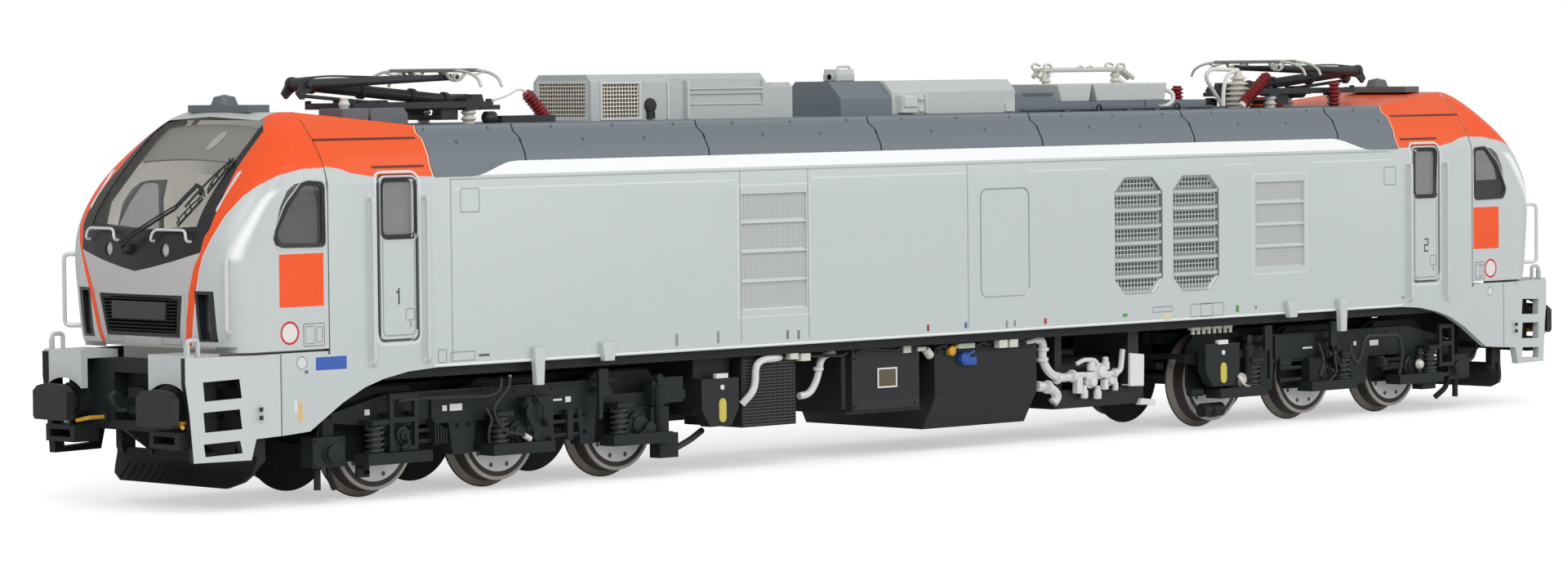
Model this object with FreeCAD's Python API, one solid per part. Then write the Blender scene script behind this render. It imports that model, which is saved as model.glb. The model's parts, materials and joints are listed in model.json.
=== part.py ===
import FreeCAD, Part
import math
import os
from FreeCAD import Vector

# Scale model of a six-axle electric locomotive, 1:87, all lengths in millimetres.
# +X runs from cab 1 to cab 2, +Z is up, and z = 0 is at the tips of the wheel flanges.
# Pieces that both ends have are drawn for cab 1 at -X.

# Running gear
tread_radius = 6.1
flange_depth = 0.9
tyre_width = 2.9
wheel_back_y = 7.15
axle_radius = 1.0
journal_radius = 0.7
journal_clearance = 0.06
axle_spacing = 20.15
pivot_x = 78.0
pivot_post_radius = 2.2
pivot_clearance = 0.06
axle_z = tread_radius + flange_depth
wheel_outer_y = wheel_back_y + tyre_width

# Heights of the body, each one above the last
wheel_headroom = 1.0
floor_thickness = 2.0
sill_lift = 1.2
cab_lift = 2.3
side_height = 23.0
stripe_height = 2.2
roof_rise = 4.6
cab_dome = 1.9
floor_bottom_z = axle_z + tread_radius + flange_depth + wheel_headroom
floor_top_z = floor_bottom_z + floor_thickness
sill_z = floor_bottom_z + sill_lift
cab_bottom_z = floor_top_z + cab_lift
wall_bend_z = sill_z + side_height
roof_edge_z = wall_bend_z + stripe_height
roof_top_z = roof_edge_z + roof_rise
cab_top_z = roof_top_z + cab_dome
cab_height = cab_top_z - cab_bottom_z

# Widths of the body
body_half_width = 16.3
wall = 1.0
roof_edge_inset = 1.1
roof_shoulder = 2.8
inner_half_width = body_half_width - wall
roof_edge_y = body_half_width - roof_edge_inset
roof_top_y = roof_edge_y - roof_shoulder

# Lengths from the bogies out to the buffers
bogie_end_overhang = 9.25
bogie_swing_gap = 1.9
end_overhang = 20.2
nose_setback = 0.7
cab_length = 16.8
hoop_length = 17.2
roof_sweep_length = 8.2
roof_sweep_offset = 5.9
bogie_half_length = axle_spacing + bogie_end_overhang
bay_half_length = pivot_x - bogie_half_length - bogie_swing_gap
beam_front_x = pivot_x + bogie_half_length + end_overhang
nose_x = beam_front_x - nose_setback
cab_seam_x = nose_x - cab_length
roof_end_x = cab_seam_x - hoop_length
roof_sweep_end_x = roof_end_x - roof_sweep_offset

# Cab openings
cab_gap = 0.35
glass_thickness = 0.6
glass_recess = 0.15
windscreen_edge = 5.8
windscreen_lift = 15.1
windscreen_margin = 1.0
headlight_y = 5.6
headlight_radius = 0.85
headlight_lift = 12.2
marker_width = 1.7
marker_height = 5.4
marker_edge = 4.5
marker_lift = 1.6
nose_panel_half = 7.6
nose_panel_taper = 0.9
nose_panel_lift = 2.2
nose_panel_height = 4.5
windscreen_half = body_half_width - windscreen_edge
windscreen_bottom_z = cab_bottom_z + windscreen_lift
windscreen_top_z = cab_top_z - windscreen_margin
headlight_z = cab_bottom_z + headlight_lift
marker_y = body_half_width - marker_edge
marker_z = cab_bottom_z + marker_lift
nose_panel_z = cab_bottom_z + nose_panel_lift

# Doors, grilles and louvres of the side walls
door_setback = 7.7
door_width = 6.3
door_lift = 0.4
door_joint = 0.25
grille_recess = 0.5
louvre_recess = 0.35
door_x1 = cab_seam_x - door_setback
door_x0 = door_x1 - door_width
door_z0 = cab_bottom_z + door_lift
door_z1 = (wall_bend_z + roof_edge_z) / 2 - 0.2
door_window_z0 = door_z0 + 0.613 * (door_z1 - door_z0)

# Headstock, buffers and skirts
beam_thickness = 3.0
beam_edge = 3.5
beam_depth = 8.6
buffer_reach = 4.7
buffer_half_spacing = 10.5
buffer_case_radius = 2.3
buffer_plunger_radius = 1.7
buffer_head_width = 7.0
buffer_head_height = 4.4
buffer_head_thickness = 1.2
skirt_reach = 2.6
skirt_length = 12.8
skirt_toe_in = 1.9
skirt_depth = 12.9
skirt_gap = 0.25
arch_drop = 7.1
arch_length = 24.4
beam_half_width = body_half_width - beam_edge
beam_top_z = floor_top_z + 1.2
beam_bottom_z = beam_top_z - beam_depth
buffer_z = beam_bottom_z + 3.3
buffer_face_x = beam_front_x + buffer_reach
skirt_front_x = beam_front_x + skirt_reach
skirt_front_y = body_half_width - skirt_toe_in
skirt_seam_x = skirt_front_x - skirt_length
skirt_bottom_z = cab_bottom_z - skirt_depth
arch_bottom_z = sill_z - arch_drop

# Rail guard
plough_setback = 8.0
plough_edge = 2.3
plough_height = 3.9
plough_clearance = 2.7
plough_sweep = 2.2
plough_x = beam_front_x - plough_setback
plough_half_width = body_half_width - plough_edge
plough_top_z = plough_clearance + plough_height

# Roof equipment
gear_half_width = 5.65
gear_chamfer = 1.0
cowl_height = 6.0
cabinet_height = 4.7
gear_bed_height = 1.4
cowl_top_z = roof_top_z + cowl_height
cabinet_top_z = roof_top_z + cabinet_height
gear_bed_z = roof_top_z + gear_bed_height

# Pantographs
panto_setback = 17.4
panto_rise = 2.8
lower_arm_reach = 25.7
knee_rise = 2.4
head_reach = 3.9
head_rise = 0.7
head_height = 1.1
head_half_width = 11.2
lower_arm_radius = 0.75
shaft_radius = 0.5
knee_pin_radius = 0.4
head_shaft_radius = 0.3
pin_clearance = 0.05
rod_base_reach = 5.0
rod_base_drop = 0.9
tail_reach = 1.2
tail_drop = 1.4
base_rail = 0.8
base_y = 4.45
panto_base_x = roof_end_x - panto_setback
panto_base_z = roof_top_z + panto_rise
knee_x = panto_base_x + lower_arm_reach
knee_z = panto_base_z + knee_rise
head_x = panto_base_x + head_reach
head_pivot_z = knee_z + head_rise
head_top_z = head_pivot_z + head_height
rod_base_x = panto_base_x + rod_base_reach
rod_base_z = panto_base_z - rod_base_drop
tail_x = knee_x + tail_reach
tail_z = knee_z - tail_drop

# Bogies
side_beam_gap = 1.45
side_beam_thickness = 1.6
side_beam_lift = 2.1
side_beam_height = 4.0
side_beam_tip_drop = 2.0
side_beam_end_height = 1.2
cross_beam_height = 1.6
axle_box_half = 2.2
axle_box_drop = 2.3
axle_box_reach = 0.5
arm_height = 1.4
spring_radius = 1.3
spring_drop = 1.0
side_beam_y0 = wheel_outer_y + side_beam_gap
side_beam_y1 = side_beam_y0 + side_beam_thickness
side_beam_z0 = axle_z + side_beam_lift
side_beam_z1 = side_beam_z0 + side_beam_height
spring_offset = axle_box_half + spring_radius + 0.1
spring_y = side_beam_y1 + spring_radius + 0.05
spring_bottom_z = axle_z - spring_drop
spring_top_z = side_beam_z0 + 0.4

parts = {}


# Drawing helpers
def box(x0, x1, y0, y1, z0, z1):
    """Block between two corners."""
    return Part.makeBox(x1 - x0, y1 - y0, z1 - z0, Vector(x0, y0, z0))


def prism_y(points, y0, y1):
    """Outline in X and Z, pulled along Y."""
    corners = [Vector(x, y0, z) for x, z in points]
    return Part.Face(Part.makePolygon(corners + corners[:1])).extrude(Vector(0, y1 - y0, 0))


def prism_x(points, x0, x1):
    """Outline in Y and Z, pulled along X."""
    corners = [Vector(x0, y, z) for y, z in points]
    return Part.Face(Part.makePolygon(corners + corners[:1])).extrude(Vector(x1 - x0, 0, 0))


def prism_z(points, z0, z1):
    """Outline in X and Y, pulled along Z."""
    corners = [Vector(x, y, z0) for x, y in points]
    return Part.Face(Part.makePolygon(corners + corners[:1])).extrude(Vector(0, 0, z1 - z0))


def rod(start, end, radius):
    """Round bar between two points."""
    a = Vector(*start)
    b = Vector(*end)
    return Part.makeCylinder(radius, a.distanceToPoint(b), a, b - a)


def slim_bar(start, end, radius, sides=8):
    """Slim bar between two points with a many-sided section."""
    a = Vector(*start)
    b = Vector(*end)
    turn = FreeCAD.Rotation(Vector(0, 0, 1), b - a)
    corners = []
    for i in range(sides):
        angle = 2 * math.pi * (i + 0.5) / sides
        corners.append(a + turn.multVec(Vector(radius * math.cos(angle), radius * math.sin(angle), 0)))
    return Part.Face(Part.makePolygon(corners + corners[:1])).extrude(b - a)


def slim_rail(points, radius):
    """Slim bars joined end to end, run on a little at each bend so that the corners close."""
    bars = []
    for i, (start, end) in enumerate(zip(points, points[1:])):
        run = (Vector(*end) - Vector(*start)).normalize() * radius * 0.7
        stop = Vector(*end) + run if i < len(points) - 2 else Vector(*end)
        bars.append(slim_bar(Vector(*start), stop, radius))
    return merged(bars)


def turned(profile, centre, axis):
    """Body of revolution: profile is a list of (radius, distance along the axis)."""
    corners = [Vector(r, 0, s) for r, s in profile]
    face = Part.Face(Part.makePolygon(corners + corners[:1]))
    solid = face.revolve(Vector(0, 0, 0), Vector(0, 0, 1), 360)
    solid.Placement = FreeCAD.Placement(Vector(*centre), FreeCAD.Rotation(Vector(0, 0, 1), Vector(*axis)))
    return solid


def half_turn(shape):
    """A copy turned half a turn about the vertical axis."""
    copy = shape.copy()
    copy.rotate(Vector(0, 0, 0), Vector(0, 0, 1), 180)
    return copy


def at_end(shape, end):
    """Pieces are drawn for cab 1 at -X; cab 2 takes them turned round."""
    return shape if end == 1 else half_turn(shape)


def both_sides(shape):
    """A shape and its mirror image across the centre plane."""
    return [shape, shape.mirror(Vector(0, 0, 0), Vector(0, 1, 0))]


def merged(shapes):
    """Touching shapes as one solid."""
    return shapes[0].fuse(shapes[1:]).removeSplitter()


def ordered(a, b):
    return min(a, b), max(a, b)


def side_box(x0, x1, side, y0, y1, z0, z1):
    """Block on one side of the centre plane, with y0 and y1 measured outwards."""
    low, high = ordered(side * y0, side * y1)
    return box(x0, x1, low, high, z0, z1)


def along(table, value):
    """Straight-line reading between the rows of a table."""
    for (a0, b0), (a1, b1) in zip(table, table[1:]):
        if value <= a1:
            return b0 + (b1 - b0) * (value - a0) / (a1 - a0)
    return table[-1][1]


# Cab shells
# Height share, setback of the nose as a share of the cab's length.
nose_profile = [(0.0, 0.077), (0.182, 0.024), (0.339, 0.0), (0.497, 0.024), (0.619, 0.131),
                (0.759, 0.327), (0.881, 0.518), (0.958, 0.649), (1.0, 0.768)]
# Height share, half width as a share of the body's.
side_profile = [(0.0, 1.0), (0.339, 1.0), (0.71, 1.0), (0.794, 0.939), (0.881, 0.828), (0.958, 0.699),
                (1.0, 0.589)]
# Share of the half width, distance back from the nose.
corner_shape = [(0.0, 0.0), (0.307, 0.2), (0.552, 0.55), (0.736, 0.98), (0.89, 1.75), (0.972, 3.1), (1.0, 5.6)]
# Shares of the cab's length and height.
side_window = [(0.952, 0.437), (0.53, 0.441), (0.506, 0.472), (0.571, 0.605), (0.637, 0.671),
               (0.708, 0.699), (0.786, 0.706), (0.952, 0.706)]


def cab_x(share):
    """X at a share of cab 1's length, from the nose backwards."""
    return -nose_x + share * cab_length


def cab_z(share):
    return cab_bottom_z + share * cab_height


def cab_front(z):
    """X of the nose on the centre plane."""
    return cab_x(along(nose_profile, (z - cab_bottom_z) / cab_height))


def cab_half_width(z):
    return body_half_width * along(side_profile, (z - cab_bottom_z) / cab_height)


def skin_x(y, z):
    """X of the cab's outer skin at one side distance and height."""
    return cab_front(z) + along(corner_shape, abs(y) / cab_half_width(z))


def cab_section(z, inset, smooth):
    """Plan of the cab at one height, as seen from above, inset for the inner face."""
    front = cab_front(z) + inset * 1.2
    half = cab_half_width(z) - inset
    right = [Vector(front + back, -share * half, z) for share, back in reversed(corner_shape)]
    left = [Vector(p.x, -p.y, p.z) for p in reversed(right[:-1])]
    rear_x = -cab_seam_x + 0.6 * cab_length
    rear = [Vector(rear_x, half, z), Vector(rear_x, -half, z)]
    if not smooth:
        return Part.makePolygon(right[::2] + left[1::2] + rear + right[:1])
    curve = Part.BSplineCurve()
    curve.interpolate(right + left)
    return Part.Wire([curve.toShape()] + Part.makePolygon([left[-1]] + rear + [right[0]]).Edges)


def cab_solid(inset, bottom, top, smooth=True):
    """Cab body between two heights, its outer skin moved inwards by inset."""
    rows = [cab_z(share) for share, setback in nose_profile]
    if not smooth:
        rows = rows[2::2]
    heights = [bottom] + [z for z in rows if bottom + 0.8 < z < top - 0.8] + [top]
    return Part.makeLoft([cab_section(z, inset, smooth) for z in heights], True, not smooth)


def windscreen_prism():
    """Outline of the windscreen seen from the front, pulled back through the cab."""
    h = windscreen_half
    bend_z = windscreen_top_z - 2.3
    outline = [(-h, windscreen_bottom_z), (0, windscreen_bottom_z - 0.5), (h, windscreen_bottom_z),
               (h * 0.985, bend_z), (h * 0.94, windscreen_top_z), (0, windscreen_top_z + 0.5),
               (-h * 0.94, windscreen_top_z), (-h * 0.985, bend_z)]
    return prism_x(outline, -nose_x - 1, -cab_seam_x)


def cab_side_window_prism():
    """Both side windows of the cab as one bar across it."""
    points = [(cab_x(back), cab_z(up)) for back, up in side_window]
    return prism_y(points, -body_half_width - 1, body_half_width + 1)


def marker_box(side, x0, x1):
    """Upright block of one lamp cluster."""
    y = side * marker_y
    return box(x0, x1, y - marker_width / 2, y + marker_width / 2, marker_z, marker_z + marker_height)


def lamp_recesses():
    """Pockets for the two headlights and the two upright lamp clusters."""
    pockets = []
    for y in (-headlight_y, headlight_y):
        x = skin_x(y, headlight_z)
        pockets.append(rod((x - 1, y, headlight_z), (x + 0.8, y, headlight_z), headlight_radius))
    for side in (-1, 1):
        pockets.append(marker_box(side, -nose_x - 1, skin_x(marker_y, marker_z) + 0.6))
    return Part.makeCompound(pockets)


def nose_panel(inset, x0, x1):
    """Trapezoid panel low on the nose."""
    top = nose_panel_z + nose_panel_height - inset
    half = nose_panel_half - inset
    low_half = half - nose_panel_taper
    return prism_x([(-half, top), (-low_half, nose_panel_z + inset), (low_half, nose_panel_z + inset),
                    (half, top)], x0, x1)


def cab_shell():
    outer = cab_solid(0, cab_bottom_z, cab_top_z)
    inner = cab_solid(wall, cab_bottom_z - 0.01, cab_top_z - wall, False)
    shell = outer.cut(inner)
    shell = shell.cut(box(-cab_seam_x, -cab_seam_x + cab_length, -20, 20, 0, 2 * cab_top_z))
    shell = shell.cut(windscreen_prism())
    shell = shell.cut(cab_side_window_prism())
    shell = shell.cut(box(-nose_x - 1, -nose_x + 3.6, -20, 20, cab_bottom_z - 1, cab_bottom_z + 0.7))
    shell = shell.cut(nose_panel(0, -nose_x - 1, -nose_x + 1.0))
    return shell.cut(lamp_recesses())


def cab_glazing():
    """Windscreen and side panes, set a little back in their openings."""
    depth = glass_recess + glass_thickness
    skin = cab_solid(glass_recess, cab_bottom_z + 1, cab_top_z - glass_recess)
    back = cab_solid(depth, cab_bottom_z + 0.5, cab_top_z - depth, False)
    panes = skin.cut(back)
    return panes.common(windscreen_prism()), panes.common(cab_side_window_prism())


def nose_grille():
    """Ribbed inset plate that fills the trapezoid panel."""
    panel = nose_panel(0, -nose_x + 0.6, -nose_x + 1.0)
    ribs = []
    for i in range(4):
        z = nose_panel_z + nose_panel_height * (0.2 + 0.2 * i)
        ribs.append(box(-nose_x + 0.3, -nose_x + 0.6, -0.55 * nose_panel_half, 0.55 * nose_panel_half, z, z + 0.3))
    return merged([panel] + ribs)


def lamps():
    """Headlight lenses and the upright marker clusters."""
    solids = []
    for y in (-headlight_y, headlight_y):
        x = skin_x(y, headlight_z)
        solids.append(rod((x + 0.2, y, headlight_z), (x + 0.8, y, headlight_z), headlight_radius))
    for side in (-1, 1):
        x = skin_x(marker_y, marker_z)
        solids.append(marker_box(side, x + 0.25, x + 0.6))
    return solids


# Body between the cabs
# Shares of the way in from the roof's edge, of the way up, and of the wall's thickness below the skin.
roof_curve = [(0.0, 0.0, 0.2), (0.054, 0.196, 0.4), (0.446, 0.63, 0.7), (0.875, 0.804, 0.8), (1.0, 1.0, 1.0)]
roof_outer = [(body_half_width, wall_bend_z)]
roof_inner = [(inner_half_width, wall_bend_z)]
for inwards, upwards, below in roof_curve:
    curve_y = roof_edge_y - inwards * roof_shoulder
    curve_z = roof_edge_z + upwards * roof_rise
    roof_outer.append((curve_y, curve_z))
    roof_inner.append((curve_y - wall, curve_z - below * wall))

cab_rear_outer = []
for share in (0.0, 0.161, 0.368, 0.609, 0.862, 1.0):
    rear_z = wall_bend_z + share * (cab_top_z - wall_bend_z)
    cab_rear_outer.append((cab_half_width(rear_z), rear_z))


def side_x(share):
    """X at a share of the machine room's half length."""
    return share * roof_end_x


def side_z(share):
    """Height at a share of the side wall above the sill."""
    return sill_z + share * side_height


def half_section(points, x):
    """Closed wire from half a cross-section, given from the bottom to the top, and its mirror image."""
    right = [Vector(x, -y, z) for y, z in points]
    left = [Vector(x, y, z) for y, z in reversed(points)]
    return Part.makePolygon(right + left + [right[0]])


def below_wall(points, inset):
    """Cross-section made smaller by the wall, and open at the bottom."""
    return [(y - wall, z - 0.01 if z < wall_bend_z + 0.1 else z - inset) for y, z in points]


def roof_line_prism():
    """Everything under the lower edge of the roof panels, which sweeps down near the cabs."""
    drop = 0.82 * stripe_height
    low_z = roof_edge_z - drop
    points = [(-cab_seam_x, 0), (-cab_seam_x, low_z)]
    steps = 6
    for i in range(steps + 1):
        t = i / steps
        points.append((-roof_sweep_end_x + roof_sweep_length * t, low_z + drop * (3 * t * t - 2 * t * t * t)))
    mirror = [(-x, z) for x, z in reversed(points)]
    return prism_y(points + mirror, -body_half_width - 1, body_half_width + 1)


def side_wall_outline():
    """Side of the body, with the wheel arches rising from the skirts at both ends."""
    cab_floor = cab_bottom_z - cab_gap
    half = [(-cab_seam_x, wall_bend_z), (-cab_seam_x, cab_floor), (-skirt_seam_x, cab_floor)]
    arch = [(0.0, 1.0), (0.172, 0.958), (0.381, 0.507), (0.525, 0.268), (0.648, 0.141), (0.807, 0.042), (1.0, 0.0)]
    half += [(-skirt_seam_x + back * arch_length, sill_z - down * arch_drop) for back, down in arch]
    return half + [(-x, z) for x, z in reversed(half)]


def rounded_bar(x0, x1, z0, z1, radius, y0, y1):
    """Bar along Y with a rounded rectangular outline."""
    bar = box(x0, x1, y0, y1, z0, z1)
    edges = [e for e in bar.Edges if abs(e.tangentAt(e.FirstParameter).y) > 0.9]
    return bar.makeFillet(radius, edges)


def joint_ring(x0, x1, z0, z1, radius, y0, y1):
    """Narrow groove round a rounded panel."""
    j = door_joint
    ring = rounded_bar(x0, x1, z0, z1, radius, y0, y1)
    return ring.cut(rounded_bar(x0 + j, x1 - j, z0 + j, z1 - j, radius - 0.8 * j, y0 - 1, y1 + 1))


def octagon_bar(x0, x1, z0, z1, chamfer, y0, y1):
    """Bar along Y with an octagonal outline."""
    return prism_y([(x0 + chamfer, z0), (x1 - chamfer, z0), (x1, z0 + chamfer), (x1, z1 - chamfer),
                    (x1 - chamfer, z1), (x0 + chamfer, z1), (x0, z1 - chamfer), (x0, z0 + chamfer)], y0, y1)


# Shares of the machine room's half length and of the side's height.
grilles = [(0.329, 0.435, 0.183, 0.887), (0.461, 0.564, 0.183, 0.887)]
louvres = [(-0.4446, -0.3175, 0.209, 0.878), (0.650, 0.766, 0.296, 0.843)]
hatch = (0.0366, 0.142, 0.204, 0.857)
grille_bands = 6


def panel_place(shares):
    x0, x1, z0, z1 = shares
    return side_x(x0), side_x(x1), side_z(z0), side_z(z1)


def door_place(direction):
    return ordered(direction * door_x0, direction * door_x1)


def side_recesses():
    """Cuts in the -Y side wall: door joints, door windows, hatch joint, louvres and mesh grilles."""
    y_out = -body_half_width - 1
    y_skin = -body_half_width
    cuts = []
    for direction in (-1, 1):
        x0, x1 = door_place(direction)
        cuts.append(joint_ring(x0, x1, door_z0, door_z1, 1.3, y_out, y_skin + door_joint))
        cuts.append(rounded_bar(x0 + 0.6, x1 - 0.7, door_window_z0, door_z1 - 0.55, 0.8, y_out, y_skin + 2 * wall))
    x0, x1, z0, z1 = panel_place(hatch)
    cuts.append(joint_ring(x0, x1, z0, z1, 1.3, y_out, y_skin + door_joint))
    for place in louvres:
        x0, x1, z0, z1 = panel_place(place)
        pitch = (z1 - z0) / 4
        for i in range(4):
            cuts.append(box(x0, x1, y_out, y_skin + louvre_recess, z0 + i * pitch + 0.12, z0 + (i + 1) * pitch - 0.12))
    for place in grilles:
        x0, x1, z0, z1 = panel_place(place)
        cuts.append(octagon_bar(x0, x1, z0, z1, 2.0, y_out, y_skin + grille_recess))
    return Part.makeCompound(cuts)


def grille_bars():
    """Horizontal bands across the mesh grilles of the -Y side."""
    bars = []
    for place in grilles:
        x0, x1, z0, z1 = panel_place(place)
        pitch = (z1 - z0) / (grille_bands + 0.9)
        for i in range(grille_bands):
            z = z0 + pitch * (i + 0.93)
            bars.append(box(x0, x1, -body_half_width + 0.1, -body_half_width + grille_recess, z, z + 0.5))
    return bars


def body_shell():
    plain_wall = prism_y(side_wall_outline(), -body_half_width, -inner_half_width)
    edge = [(-y, z) for y, z in roof_outer[:2]] + [(-y, z) for y, z in reversed(roof_inner[:2])]
    shoulder = prism_x(edge, -roof_end_x, roof_end_x).common(roof_line_prism())
    outer = [half_section(roof_outer, -roof_end_x), half_section(cab_rear_outer, -cab_seam_x)]
    inner = [half_section(below_wall(roof_outer, wall), -roof_end_x + 0.01),
             half_section(below_wall(cab_rear_outer, wall), -cab_seam_x - 0.01)]
    hoop = Part.makeLoft(outer, True, True).cut(Part.makeLoft(inner, True, True))
    cuts = side_recesses()
    right = merged([plain_wall.cut(cuts)] + grille_bars())
    hoop = hoop.cut(cuts).cut(half_turn(cuts))
    return merged([right, half_turn(right), shoulder, half_turn(shoulder), hoop, half_turn(hoop)])


def door_glazing():
    """Panes in the four entrance doors."""
    panes = []
    y = -body_half_width + 2 * glass_recess
    for direction in (-1, 1):
        x0, x1 = door_place(direction)
        panes.append(rounded_bar(x0 + 0.6, x1 - 0.7, door_window_z0, door_z1 - 0.55, 0.8, y, y + glass_thickness))
    return panes + [half_turn(p) for p in panes]


roof_seams = [-0.832, -0.493, -0.154, 0.185, 0.524, 0.863]
seam_width = 0.24


def roof_panels():
    """Slate roof over the machine room, with its joints grooved."""
    run = Vector(2 * roof_end_x, 0, 0)
    outer = Part.Face(half_section(roof_outer, -roof_end_x)).extrude(run)
    inner_points = [(roof_inner[0][0], roof_inner[0][1] - 0.01)] + roof_inner[1:]
    inner = Part.Face(half_section(inner_points, -roof_end_x)).extrude(run)
    shell = outer.cut(inner).cut(roof_line_prism())
    grooves = []
    for share in roof_seams:
        x = side_x(share) - seam_width / 2
        band = Part.Face(half_section([(y + 1, z + 1) for y, z in roof_outer], x))
        core_points = [(y - 0.2, z - 0.2) for y, z in roof_outer]
        core_points[0] = (core_points[0][0], wall_bend_z - 2)
        core = Part.Face(half_section(core_points, x))
        grooves.append(band.extrude(Vector(seam_width, 0, 0)).cut(core.extrude(Vector(seam_width, 0, 0))))
    return shell.cut(Part.makeCompound(grooves))


# Floor, ends and under-floor gear
def underframe():
    """Floor slab with its narrower ends, and the pivot posts the bogies turn on."""
    end_x = beam_front_x - beam_thickness
    neck_x = skirt_seam_x - 0.9
    end_y = skirt_front_y - wall - 0.4
    outline = [(-end_x, -end_y), (-neck_x, -end_y), (-neck_x, -inner_half_width), (neck_x, -inner_half_width),
               (neck_x, -end_y), (end_x, -end_y)]
    outline += [(x, -y) for x, y in reversed(outline)]
    slab = prism_z(outline, floor_bottom_z, floor_top_z)
    foot = side_beam_z0 + 0.1
    posts = [rod((x, 0, foot), (x, 0, floor_bottom_z), pivot_post_radius) for x in (-pivot_x, pivot_x)]
    return merged([slab] + posts)


def buffer_beam():
    """Headstock with the coupling pocket, the buffer cases and the steps under them."""
    front = -beam_front_x
    beam = box(front, front + beam_thickness, -beam_half_width, beam_half_width, beam_bottom_z, beam_top_z)
    beam = beam.cut(box(front - 1, front + 2.2, -3.6, 3.6, beam_bottom_z + 1.2, beam_top_z - 1.6))
    pieces = [beam]
    for y in (-buffer_half_spacing, buffer_half_spacing):
        pieces.append(rod((front + 0.3, y, buffer_z), (front - 1.6, y, buffer_z), buffer_case_radius))
        step_top = beam_bottom_z + 0.5
        step = box(front - 3.2, front + 0.5, y - 2.9, y + 2.9, step_top - 2.1, step_top)
        pieces.append(step.cut(box(front - 4, front + 1, y - 2.1, y + 2.1, step_top - 1.5, step_top - 0.6)))
    for y in (-5.2, 5.2):
        pieces.append(box(front - 0.5, front + 0.2, y - 0.6, y + 0.6, beam_bottom_z + 0.8, beam_bottom_z + 2.4))
    return merged(pieces)


def buffers():
    """Two buffer heads with arched tops on their plungers."""
    solids = []
    half = buffer_head_width / 2
    low = buffer_z - buffer_head_height / 2
    high = buffer_z + buffer_head_height / 2
    right = [(half - 0.3, low), (half, low + 0.4), (half, high - 0.9), (half * 0.75, high - 0.25), (half * 0.4, high)]
    shape = right + [(-y, z) for y, z in reversed(right)]
    for side_y in (-buffer_half_spacing, buffer_half_spacing):
        outline = [(side_y + y, z) for y, z in shape]
        head = prism_x(outline, -buffer_face_x, -buffer_face_x + buffer_head_thickness)
        stem = rod((-buffer_face_x + 0.6, side_y, buffer_z), (-beam_front_x - 1.6, side_y, buffer_z),
                   buffer_plunger_radius)
        solids.append(merged([head, stem]))
    return solids


def coupling_hook():
    """Coupling shaft and hook in the headstock pocket."""
    root = -beam_front_x + 1.1
    z = buffer_z
    shape = [(0, -0.3), (-2.7, -0.3), (-3.9, 0.1), (-4.4, 1.0), (-3.7, 1.7), (-2.9, 1.3), (-3.1, 0.9),
             (-2.7, 0.7), (0, 0.7)]
    hook = prism_y([(root + dx, z + dz) for dx, dz in shape], -0.5, 0.5)
    plate = box(root - 0.5, -beam_front_x + 2.2, -1.6, 1.6, z - 1.3, z + 1.9)
    pin = slim_bar((root - 2.5, -1.1, z - 0.6), (root - 2.5, 1.1, z - 0.6), 0.35)
    return merged([hook, plate, pin])


def front_skirt():
    """Pale side panel with the ladder openings, and the fender over the buffer."""
    length = math.hypot(skirt_length, skirt_toe_in)
    top = cab_bottom_z - cab_gap
    outline = [(0, top), (0, arch_bottom_z), (0.262 * length, arch_bottom_z - 0.2), (0.316 * length, skirt_bottom_z),
               (0.923 * length, skirt_bottom_z), (0.96 * length, skirt_bottom_z + 0.45 * skirt_depth),
               (length, skirt_bottom_z + 0.74 * skirt_depth), (length, top)]
    panel = prism_y(outline, 0, wall)
    front = 0.8 * length
    back = 0.41 * length
    for low, high in ((0.566, 0.76), (0.279, 0.48), (0.054, 0.186)):
        z0 = skirt_bottom_z + low * skirt_depth
        z1 = skirt_bottom_z + high * skirt_depth
        panel = panel.cut(prism_y([(back, z0 + 0.2), (front, z0), (front + 0.2, z1 - 0.2), (back + 0.3, z1)],
                                  -1, wall + 1))
    panel = panel.mirror(Vector(0, 0, 0), Vector(1, 0, 0))
    panel.rotate(Vector(0, 0, 0), Vector(0, 0, 1), -math.degrees(math.atan2(skirt_toe_in, skirt_length)))
    panel.translate(Vector(-skirt_seam_x - skirt_gap, -body_half_width, 0))
    fender_top = cab_bottom_z - 0.1
    fender_y = buffer_half_spacing - 3.7
    fender = box(-skirt_front_x, -skirt_front_x + wall, -skirt_front_y - 0.02, -fender_y, fender_top - 4.6, fender_top)
    arc_z = beam_bottom_z
    fender = fender.cut(rod((-skirt_front_x - 1, -buffer_half_spacing, arc_z),
                            (-skirt_front_x + 2, -buffer_half_spacing, arc_z), 6.2))
    shelf = box(-skirt_front_x, -beam_front_x + beam_thickness, -skirt_front_y + 0.9, -fender_y,
                beam_top_z, fender_top)
    return merged([panel, fender, shelf])


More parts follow.
